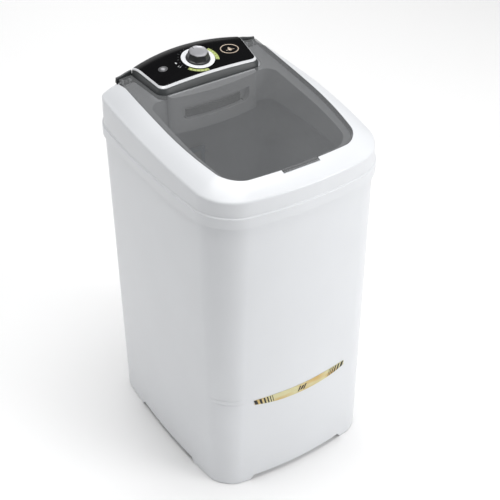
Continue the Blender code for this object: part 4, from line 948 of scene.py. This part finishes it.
class WASHER_OT_lid(bpy.types.Operator):
    """Build the smoked lid, with its rim, finger tab, knuckles and the gap for the console"""

    bl_idname = "washer.lid"
    bl_label = "Lid"

    def execute(self, context):
        def ring(grow, drop):
            return lifted(plan(LID, grow), lambda x, y: lid_z(y) - drop)

        made = Shell(ring(-WALL, LID_THICK)).grow(ring(-WALL, LID_RIM), ring(0, LID_RIM), ring(0, 0)).capped()
        opening = console_edge(CONSOLE_FLARE + 0.0045, back_to=0.32)
        made = carve(made, Shell(lifted(opening, 0.95)).grow(lifted(opening, 1.15)).capped())
        tab = box((-TAB_HALF, TAB_HALF), (LID_FRONT - TAB_REACH, LID_FRONT + 0.006),
                  (lambda x, y: lid_z(y) - LID_THICK, lambda x, y: lid_z(y) - 0.0002))
        made = carve(made, tab, "UNION")
        for side in (-1, 1):
            low = side * HINGE.x - 0.0165
            room = box((low, low + 0.033), (HINGE.y - 0.012, LID.back + 0.01),
                       (lambda x, y: lid_z(y) - LID_RIM - 0.01, lambda x, y: lid_z(y) - LID_THICK))
            made = carve(made, room)
            made = carve(made, knuckle(side), "UNION")
        # the U-shaped faces are split into plain ones, so that none closes over the console's gap
        for place, way in (((0, 0.105, 0), UP.yzx), ((-0.172, 0, 0), UP.zxy), ((0.172, 0, 0), UP.zxy)):
            whole = list(made.verts) + list(made.edges) + list(made.faces)
            bmesh.ops.bisect_plane(made, geom=whole, plane_co=place, plane_no=way, dist=1e-6)
        bmesh.ops.triangulate(made, faces=[face for face in made.faces if len(face.verts) > 4])
        piece("lid_moulding", made, FINISHES["smoke"], body="lid", stands_for=["lid"],
              edge=0.0008, sharp=35)
        return {"FINISHED"}


# ---------------------------------------------------------------- console, panel and dial

class WASHER_OT_console(bpy.types.Operator):
    """Build the console's dark moulding, the bright trim and the black panel"""

    bl_idname = "washer.console"
    bl_label = "Console"

    def execute(self, context):
        def edge(grow, drop):
            return lifted(console_edge(grow), lambda x, y: panel_z(x, y) - drop)

        def foot(inset, height):
            bow = LID.end_bows[1] * (CONSOLE_HALF_BACK / LID.half_width) ** 2
            return lifted(console_edge(CONSOLE_FLARE - inset, back=0.2385 - CONSOLE_FLARE, bow=bow), height)

        def waist(x, y):
            return lid_z(y) + 0.001 - 0.008 * min(1.0, max(0.0, (y - 0.2) / 0.03))

        def ground(x, y):
            return recess_z(y) + GAP

        shell = Shell(foot(0, ground)).grow(
            foot(0, waist), edge(0, PANEL_UNDER), edge(-0.010, PANEL_UNDER),
            edge(-0.010, PANEL_UNDER + 0.0025), edge(-0.003, PANEL_UNDER + 0.0030),
            foot(WALL, lambda x, y: waist(x, y) - 0.001), foot(WALL, ground))
        passage = box((-0.134, 0.134), (0.09, 0.135), (0.95, lambda x, y: lid_z(y) - 0.005))
        piece("console_moulding", carve(shell.closed(), passage), FINISHES["dark"],
              stands_for=["console_housing"], edge=0.0007, sharp=35)

        inner = plate_edge()
        low = PANEL_UNDER - GAP
        trim = Shell(edge(0, low)).grow(edge(0, 0.004), lifted(inner, panel_z),
                                        lifted(inner, lambda x, y: panel_z(x, y) - low))
        piece("panel_trim", trim.closed(), FINISHES["trim"], stands_for=["console_trim"],
              edge=0.0006)

        def on_plate(s, t):
            point = plate_point(math.sin(2.9 * (s - 0.5)) / math.sin(1.45), t, GAP)
            return Vector((*point, panel_z(*point) - PANEL_DROP))

        piece("panel_plate", facing_up(grid(60, 24, on_plate)), FINISHES["panel"],
              stands_for=["control_panel"], sheet=0.002, even=False, edge=0)
        # the wing tails also carry thin dark strips on the recess floor, painted shade in the gap under the
        # lid
        piece("wing_fairings_and_shade_strips", joined(*(wing_tail_with_shade_strip(side) for side in (-1, 1))), FINISHES["dark"],
              edge=0.0008, sharp=35)
        return {"FINISHED"}


def wing_tail_with_shade_strip(side):
    """The fixed tail of a wing, clear of the lid's swing, rising from its outer corner to the panel's. Its
    section starts with a thin dark strip on the recess floor, painted shade over the gap that the lid's swing
    leaves.
    """
    shell = None
    for step in range(9):
        share = step / 8
        x = side * (0.2135 - 0.0465 * share)
        rear = LID.back - LID.end_bows[1] * (x / LID.half_width) ** 2
        front = HINGE.y + math.hypot(rear - HINGE.y, lid_z(rear) - HINGE.z) + 0.0009
        top = lid_z(front) + 0.0002 + 0.0085 * ramp(share, 0.0, 1.05)
        low = recess_z(0.223) + GAP
        # the first three points lay a thin dark strip forward on the recess floor: painted shade in the gap
        places = [Vector((x, y, z)) for y, z in (
            (0.223, low), (0.223, low + 0.0006), (front - 0.0003, low + 0.0010), (front, top - 0.0015),
            (front + 0.002, top), (front + 0.006, top - 0.001), (front + 0.0095, low + 0.0012))]
        shell = shell.grow(places) if shell else Shell(places)
    return shell.capped()


def printed(name, finish, *sheets):
    """Printed marks: flat shapes laid on the panel, following its arch."""
    lift = bpy.context.scene.washer_sizes.print_lift
    made = joined_sheets(*sheets, turn=facing_up)
    for vert in made.verts:
        vert.co.z = panel_z(vert.co.x, vert.co.y) - PANEL_DROP + lift
    return piece(name, made, FINISHES[finish], sheet=lift, edge=0)


def arc_band(inner, outer, start, end, steps=24):
    """A flat band round the dial, from one angle to another, in degrees from the right."""
    made = bmesh.new()
    verts = [made.verts.new((radius, 0, 0)) for radius in (inner, (inner + outer) / 2, outer)]
    edges = [made.edges.new(pair) for pair in zip(verts, verts[1:])]
    whole = abs(end - start) >= 360
    bmesh.ops.spin(made, geom=verts + edges, cent=(0, 0, 0), axis=(0, 0, 1), angle=math.radians(end - start),
                   steps=steps, use_merge=whole)
    return moved(made, Matrix.Rotation(math.radians(start), 4, "Z"), (0, KNOB_Y, 0))


def dash(x, y, length, width, angle=0.0):
    """A small flat bar centred on x, y."""
    made = grid(3, 1, lambda s, t: Vector(((s - 0.5) * length, (t - 0.5) * width, 0)))
    return moved(made, Matrix.Rotation(math.radians(angle), 4, "Z"), (x, y, 0))


def radial_dash(reach, angle, length, width):
    """A small bar pointing away from the dial, at an angle in degrees."""
    turn = math.radians(angle)
    return dash(reach * math.cos(turn), KNOB_Y + reach * math.sin(turn), length, width, angle)


def spot(x, y, wide, high, pull=0.0, steps=28):
    """A flat ellipse, its upper end pulled out to a point as a drop is."""
    made = bmesh.new()
    bmesh.ops.create_circle(made, cap_ends=True, segments=steps, radius=1.0)
    bmesh.ops.inset_region(made, faces=list(made.faces), thickness=0.35)
    for vert in made.verts:
        rise = max(0.0, vert.co.y)
        vert.co = (vert.co.x * wide * (1 - pull * rise), vert.co.y * high * (1 + pull * rise), 0)
    return moved(made, (x, y, 0))


def flat_ring(x, y, wide, high, width):
    """A flat elliptical outline."""
    made = turned([(1.0 - width / wide, 0), (1.0, 0)], closed=False, steps=48)
    for face in list(made.faces):
        if face.calc_area() < 1e-9:
            made.faces.remove(face)
    return moved(made, Matrix.Diagonal((wide, high, 1, 1)), (x, y, 0))


class WASHER_OT_panel_print(bpy.types.Operator):
    """Lay the printed marks on the panel: the dial's arcs, its ticks, small signs and the oval emblem"""

    bl_idname = "washer.panel_print"
    bl_label = "Panel print"

    def execute(self, context):
        printed("panel_arcs", "lime", arc_band(0.0465, 0.057, -28, 30), arc_band(0.0465, 0.0555, -150, -88))
        ticks = [radial_dash(0.0522, first + (last - first) * step / 5, 0.0045, 0.0011)
                 for first, last in ((-24, 26), (-148, -92)) for step in range(6)]
        made = joined_sheets(*ticks, turn=facing_up)
        for vert in made.verts:
            vert.co.z = panel_z(vert.co.x, vert.co.y) - PANEL_DROP + 0.0005
        piece("arc_ticks", made, FINISHES["black_ink"], sheet=0.0002, edge=0)
        marks = [radial_dash(*((0.053, 120 + 13.5 * step, 0.006) if step % 2
                               else (0.0515, 120 + 13.5 * step, 0.003)), 0.0009) for step in range(9)]
        marks += [radial_dash(0.0515, 45 + 20 * step, 0.003, 0.0009) for step in range(4)]
        printed("dial_marks", "grey_ink", *marks)
        signs = [spot(-0.062, 0.190, 0.0026, 0.0030, 0.45), dash(-0.0625, 0.176, 0.006, 0.0012, 20),
                 dash(-0.060, 0.171, 0.006, 0.0012, 20)]
        printed("panel_signs", "white_ink", *signs)
        printed("light_glow", "grey_ink", spot(*LAMP_AT, 0.0135, 0.0105))
        made = moved(turned([(0, 0.0012), (0.004, 0.0011), (0.0065, 0.0006), (0.007, 0), (0, 0)], steps=32),
                     (*LAMP_AT, panel_z(*LAMP_AT) - PANEL_DROP + 0.0002))
        piece("panel_lamp", made, FINISHES["silver"], edge=0)
        printed("oval_emblem", "copper_ink", flat_ring(*EMBLEM_AT, 0.027, 0.0205, 0.0031),
                spot(0.101, 0.185, 0.0060, 0.0064, 0.5), dash(0.0915, 0.183, 0.007, 0.0014, 12),
                dash(0.1105, 0.183, 0.007, 0.0014, -12))
        return {"FINISHED"}


def faceted(radius, z, flats, share):
    """A ring of the knob's grip: between a circle and a polygon with that many flats, by a share."""
    steps = flats * 16
    half = math.pi / flats
    places = []
    for step in range(steps):
        angle = math.tau * step / steps
        off = (angle + half) % (2 * half) - half
        flat = radius * math.cos(half) / math.cos(off)
        reach = radius + (flat - radius) * share
        places.append(Vector((reach * math.cos(angle), reach * math.sin(angle), z)))
    return places


class WASHER_OT_dial(bpy.types.Operator):
    """Build the dial ring, the timer knob with its flats and the silver cap with its pointer"""

    bl_idname = "washer.dial"
    bl_label = "Dial and knob"

    def execute(self, context):
        flats = context.scene.washer_sizes.knob_facets
        here = knob_frame()
        ring = turned([(0.033, GAP), (0.045, GAP), (0.045, 0.0012), (0.0442, 0.0016), (0.036, 0.0016),
                       (0.033, 0.0010)], closed=True)
        piece("dial_disc", moved(ring, here), FINISHES["dial"], stands_for=["dial_ring"],
              edge=0.0002, segments=2)
        ticks = []
        for step in range(24):
            long = step % 4 == 0
            tick = box((0.0385 if long else 0.0405, 0.0435), (-0.0004, 0.0004), (0.0012, 0.0018))
            ticks.append(moved(tick, Matrix.Rotation(math.tau * step / 24, 4, "Z"), here))
        piece("dial_ticks", joined(*ticks), FINISHES["white_ink"], edge=0)
        grip = Shell(faceted(0.0315, 0.0012, flats, 0)).grow(
            faceted(0.032, 0.0018, flats, 0), faceted(0.032, 0.0045, flats, 0),
            faceted(0.0302, 0.0062, flats, 0.6), faceted(0.0283, 0.0140, flats, 1),
            faceted(0.0265, 0.0210, flats, 1)).capped()
        piece("knob_grip", moved(grip, here), FINISHES["knob"], body="timer",
              stands_for=["timer_knob"], edge=0.0006, sharp=18)
        cap = Shell(faceted(0.0255, 0.0213, flats, 0.6)).grow(
            faceted(0.0255, 0.0225, flats, 0.6), faceted(0.0246, 0.0233, flats, 0.5),
            faceted(0.0228, 0.0233, flats, 0.3), faceted(0.0215, 0.0228, flats, 0.1),
            faceted(0.010, 0.0226, flats, 0)).capped()
        piece("knob_disc", moved(cap, here), FINISHES["silver"], body="timer",
              stands_for=["knob_cap"], edge=0.0003, segments=2)
        pointer = box((-0.0012, 0.0012), (0.0150, 0.0238), (0.0226, 0.02335))
        for vert in pointer.verts:
            if vert.co.y < 0.02:
                vert.co.x *= 0.35
        turn = Matrix.Rotation(math.radians(18), 4, "Z")
        piece("knob_pointer", moved(pointer, turn, here), FINISHES["black_ink"], body="timer", edge=0.0002,
              segments=2)
        return {"FINISHED"}


# ---------------------------------------------------------------- soap dispenser

def slot_prism():
    """The dispenser's mouth: a wide slot with round lower corners, through the front wall."""
    steps = 10
    section = [(-SLOT_HALF, SLOT_TOP)]
    for side, start in ((-1, 180), (1, 270)):
        for i in range(steps + 1):
            angle = math.radians(start + 90 * i / steps)
            section.append((side * (SLOT_HALF - SLOT_ROUND) + SLOT_ROUND * math.cos(angle),
                            DISPENSER_SHELF + SLOT_ROUND + SLOT_ROUND * math.sin(angle)))
    section.append((SLOT_HALF, SLOT_TOP))
    return Shell([Vector((x, 0.06, z)) for x, z in section]).grow(
        [Vector((x, 0.112, z)) for x, z in section]).capped()


class WASHER_OT_dispenser(bpy.types.Operator):
    """Build the soap dispenser behind the tub's mouth, the tray in its slot, and dark sheets inside it that
    paint the shade in its hollow
    """

    bl_idname = "washer.dispenser"
    bl_label = "Dispenser"

    def execute(self, context):
        def top(x, y):
            return lid_z(y) - LID_THICK - 0.0025

        def block(grow, low, high):
            outline = plan(DISPENSER, grow)
            return Shell(lifted(outline, low)).grow(lifted(outline, high)).capped()

        made = block(0, DISPENSER_BOTTOM, top)
        made = carve(made, block(-WALL, DISPENSER_SHELF, lambda x, y: top(x, y) - WALL))
        made = carve(made, block(-WALL, 0.90, DISPENSER_SHELF - WALL))
        made = carve(made, slot_prism())
        for i in range(5):
            hole = turned([(0, 0.93), (0.004, 0.93), (0.004, 0.97), (0, 0.97)], steps=24)
            made = carve(made, moved(hole, (-0.06 + 0.03 * i, (DISPENSER.front + DISPENSER.back) / 2, 0)))
        piece("dispenser_moulding", made, FINISHES["inner"], stands_for=["dispenser_housing"],
              edge=0.0009, sharp=40)
        low = DISPENSER_SHELF + GAP
        tray = Shell(lifted(plan(TRAY, -0.002), low + 0.002)).grow(
            lifted(plan(TRAY, -0.002), low + 0.022), lifted(plan(TRAY), low + 0.022),
            lifted(plan(TRAY), low)).capped()
        # the liner round the dispenser's inside and the two beds beside the tray are dark sheets: painted
        # shade in the hollow behind the slot
        inside = [plan(DISPENSER, -WALL - GAP - thick) for thick in (0, 0.0008)]
        shade_liner = Shell(lifted(inside[0], low)).grow(
            *(lifted(points, lambda x, y: top(x, y) - WALL - 0.001) for points in inside),
            lifted(inside[1], low)).closed()
        shade_liner = carve(shade_liner, slot_prism())
        shade_beds = [box(span, (0.101, 0.136), (low, low + 0.0006)) for span in ((-0.112, -0.087), (0.087, 0.112))]
        piece("dispenser_shade_liner", joined(shade_liner, *shade_beds), FINISHES["soap"], edge=0)
        piece("soap_tray", tray, FINISHES["soap"], body="tray", stands_for=["dispenser_tray"],
              edge=0.0005, sharp=40)
        return {"FINISHED"}


# ---------------------------------------------------------------- tub and agitator

class WASHER_OT_tub(bpy.types.Operator):
    """Build the wash tub with its flange, coved floor and two holes through its floor"""

    bl_idname = "washer.tub"
    bl_label = "Wash tub"

    def execute(self, context):
        floor, rim, foot = TUB_FLOOR, CABINET_TOP + GAP, 0.030

        def bed(grow, z):
            return lifted(plan(TUB_BED, grow), z)

        def cove(wall):
            """Rings round the quarter turn from the floor up to the wall."""
            rings = []
            for step in range(1, 6):
                angle = math.radians(90 * step / 6)
                rings.append(bed(-foot * (1 - math.sin(angle)) * 0.92 - wall,
                                 floor - 0.004 + foot * (1 - math.cos(angle)) + wall * 1.2))
            return rings

        shell = Shell(bed(-foot, floor - 0.004)).grow(
            *cove(0), bed(0, floor + foot), lifted(plan(TUB_RIM), rim), lifted(plan(COVER, -0.0045), rim),
            lifted(plan(COVER, -0.0045), rim + WALL), lifted(plan(TUB_RIM, -WALL), rim + WALL),
            bed(-WALL, floor + foot), *reversed(cove(WALL)), bed(-foot - WALL, floor))
        made = shell.capped()
        for radius, x, y in ((0.0175, 0, 0), (0.0163, 0.150, 0.130)):
            hole = turned([(0, 0.29), (radius, 0.29), (radius, 0.335), (0, 0.335)], steps=48)
            made = carve(made, moved(hole, (x, y, 0)))
        piece("wash_tub", made, FINISHES["inner"], stands_for=["tub"], edge=0.0008, sharp=40)
        return {"FINISHED"}


def vane(turn):
    """A low blade that leans back as it runs outwards, with a rounded top."""
    shell = None
    for radius, top, half in ((0.024, 0.370, 0.0095), (0.045, 0.3745, 0.009), (0.070, 0.375, 0.008),
                              (0.095, 0.372, 0.0075), (0.118, 0.365, 0.007), (0.140, 0.353, 0.006),
                              (0.156, 0.341, 0.005)):
        sweep = turn + 0.35 * (radius / 0.165) ** 2
        out = Vector((math.cos(sweep), math.sin(sweep), 0))
        side = Vector((-out.y, out.x, 0))
        low = TUB_FLOOR + 0.0055
        rise = [(1.5, 0), (1.05, 0.25), (0.75, 0.6), (0.6, 0.88), (0.25, 1.0)]
        section = [(-across, up) for across, up in rise] + rise[::-1]
        places = [out * radius + side * half * across + UP * (low + (top - low) * up)
                  for across, up in section]
        shell = shell.grow(places) if shell else Shell(places)
    return shell.capped()


class WASHER_OT_agitator(bpy.types.Operator):
    """Build the agitator's dished plate with its four blades, and the cap on its hub"""

    bl_idname = "washer.agitator"
    bl_label = "Agitator"

    def execute(self, context):
        low = TUB_FLOOR + 0.0035
        disc = turned([(0.0063, low), (0.161, low), (0.165, low + 0.003), (0.1635, low + 0.0058),
                       (0.160, low + 0.007), (0.135, low + 0.0082), (0.110, low + 0.0105),
                       (0.080, low + 0.0165), (0.058, low + 0.0235), (0.046, low + 0.032),
                       (0.039, low + 0.043), (0.036, 0.366), (0.034, 0.3705), (0.030, 0.372), (0, 0.372),
                       (0, 0.348), (0.0063, 0.348)], closed=True)
        made = joined(disc, *(vane(math.tau * number / 4) for number in range(4)))
        piece("agitator_moulding", made, FINISHES["blue"], body="agitator",
              stands_for=["agitator"], edge=0.0008, sharp=40)
        cap = turned([(0, 0.3723), (0.028, 0.3723), (0.0275, 0.3752), (0.026, 0.3783), (0.021, 0.3813),
                      (0.015, 0.3833), (0.008, 0.3845), (0, 0.3848)])
        piece("hub_cap", cap, FINISHES["white"], body="agitator", stands_for=["agitator_cap"],
              edge=0.0004, sharp=40)
        return {"FINISHED"}


# ---------------------------------------------------------------- works that keep their solids

def neat_group():
    """A node group that welds a solid's loose triangles and shades them smooth."""
    tree = bpy.data.node_groups.new("welded_smooth", "GeometryNodeTree")
    for way in ("INPUT", "OUTPUT"):
        tree.interface.new_socket("Geometry", in_out=way, socket_type="NodeSocketGeometry")
    came = tree.nodes.new("NodeGroupInput")
    weld = tree.nodes.new("GeometryNodeMergeByDistance")
    weld.inputs["Distance"].default_value = 1e-5
    smooth = tree.nodes.new("GeometryNodeSetShadeSmooth")
    gone = tree.nodes.new("NodeGroupOutput")
    tree.links.new(came.outputs[0], weld.inputs["Geometry"])
    tree.links.new(weld.outputs["Geometry"], smooth.inputs["Geometry"])
    tree.links.new(smooth.outputs["Geometry"], gone.inputs[0])
    return tree


class WASHER_OT_works(bpy.types.Operator):
    """Give the works that keep their solids their finishes and softly broken edges"""

    bl_idname = "washer.works"
    bl_label = "Works"

    def execute(self, context):
        welded = neat_group()
        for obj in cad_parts.values():
            if obj.hide_render:
                continue
            finish = FINISHES[obj.material_slots[0].material.name.split(".")[0]]
            obj.material_slots[0].link = "OBJECT"
            obj.material_slots[0].material = finish
            obj.modifiers.new("welded", "NODES").node_group = welded
            flats = obj.modifiers.new("flats", "DECIMATE")
            flats.decimate_type = "DISSOLVE"
            flats.angle_limit = math.radians(1)
            broken = obj.modifiers.new("rounding", "BEVEL")
            broken.limit_method = "ANGLE"
            broken.angle_limit = math.radians(35)
            broken.width = 0.0004
            broken.segments = 2
            broken.harden_normals = True
        return {"FINISHED"}


# ---------------------------------------------------------------- stage

def lamp(name, place, size, power, target=(0, 0, 0.5)):
    data = bpy.data.lights.new(name, "AREA")
    data.shape = "DISK"
    data.size = size
    data.energy = power * bpy.context.scene.washer_sizes.light
    made = bpy.data.objects.new(name, data)
    bpy.context.scene.collection.objects.link(made)
    made.location = place
    made.rotation_mode = "QUATERNION"
    made.rotation_quaternion = (Vector(target) - Vector(place)).to_track_quat("-Z", "Y")


class WASHER_OT_stage(bpy.types.Operator):
    """Set up the camera, the studio lamps, the pale world and the floor"""

    bl_idname = "washer.stage"
    bl_label = "Stage"

    def execute(self, context):
        scene = context.scene
        turn, rise = CAMERA_TURN, CAMERA_RISE
        back = Vector((math.sin(turn) * math.cos(rise), -math.cos(turn) * math.cos(rise), math.sin(rise)))
        right = Vector((math.cos(turn), math.sin(turn), 0))
        data = bpy.data.cameras.new("camera")
        data.sensor_width = 36.0
        data.lens = LENS_MM
        camera = bpy.data.objects.new("camera", data)
        scene.collection.objects.link(camera)
        camera.location = (CAMERA_TARGET + right * CAMERA_ASIDE + back.cross(right) * CAMERA_UP
                           + back * CAMERA_AWAY)
        camera.rotation_mode = "QUATERNION"
        camera.rotation_quaternion = (-back).to_track_quat("-Z", "Y")
        scene.camera = camera
        scene.view_settings.view_transform = "Standard"

        world = scene.world or bpy.data.worlds.new("studio")
        scene.world = world
        world.use_nodes = True
        sky = world.node_tree.nodes["Background"]
        sky.inputs["Color"].default_value = (1.0, 1.0, 1.0, 1.0)
        sky.inputs["Strength"].default_value = WORLD_STRENGTH

        lamp("key", (1.9, -3.0, 1.9), 2.2, 61.0)
        lamp("top", (0.2, 0.0, 6.4), 5.0, 308.0, (0, 0, 0))
        lamp("side", (-3.0, 1.3, 1.5), 2.0, 13.0)
        lamp("behind", (1.2, 3.6, 2.2), 2.4, 19.0)

        made = bmesh.new()
        bmesh.ops.create_grid(made, x_segments=4, y_segments=4, size=14.0)
        floor = as_object("floor", made)
        pale = Finish("studio_floor", tuple(scene.washer_colours.floor), 0.7)
        mottle = pale.noise(0.8, 2.0)
        pale.set("Base Color", pale.mix(mottle * 0.3, pale.colour, pale.shade(1.02)))
        floor.data.materials.append(pale.material)
        return {"FINISHED"}


# ---------------------------------------------------------------- panel and registration

class WASHER_PT_sidebar(bpy.types.Panel):
    bl_idname = "WASHER_PT_sidebar"
    bl_label = "Tub washing machine"
    bl_space_type = "VIEW_3D"
    bl_region_type = "UI"
    bl_category = "Washer"

    def draw(self, context):
        for step in STEPS:
            self.layout.operator(step.bl_idname)
        for group in (context.scene.washer_sizes, context.scene.washer_colours):
            for name in group.__annotations__:
                self.layout.prop(group, name)


STEPS = (WASHER_OT_cabinet, WASHER_OT_label, WASHER_OT_top_cover, WASHER_OT_lid, WASHER_OT_console,
         WASHER_OT_panel_print, WASHER_OT_dial, WASHER_OT_dispenser, WASHER_OT_tub, WASHER_OT_agitator,
         WASHER_OT_works, WASHER_OT_stage)
CLASSES = (WasherColours, WasherSizes, *STEPS, WASHER_PT_sidebar)


def register():
    for kind in CLASSES:
        bpy.utils.register_class(kind)
    bpy.types.Scene.washer_colours = bpy.props.PointerProperty(type=WasherColours)
    bpy.types.Scene.washer_sizes = bpy.props.PointerProperty(type=WasherSizes)


def unregister():
    del bpy.types.Scene.washer_sizes
    del bpy.types.Scene.washer_colours
    for kind in reversed(CLASSES):
        bpy.utils.unregister_class(kind)


def clear_startup():
    for name in ("Cube", "Light", "Camera"):
        old = bpy.data.objects.get(name)
        if old:
            bpy.data.objects.remove(old)


def main():
    register()
    clear_startup()
    make_finishes()
    for step in STEPS:
        group, name = step.bl_idname.split(".")
        getattr(getattr(bpy.ops, group), name)()


if __name__ == "__main__":
    main()
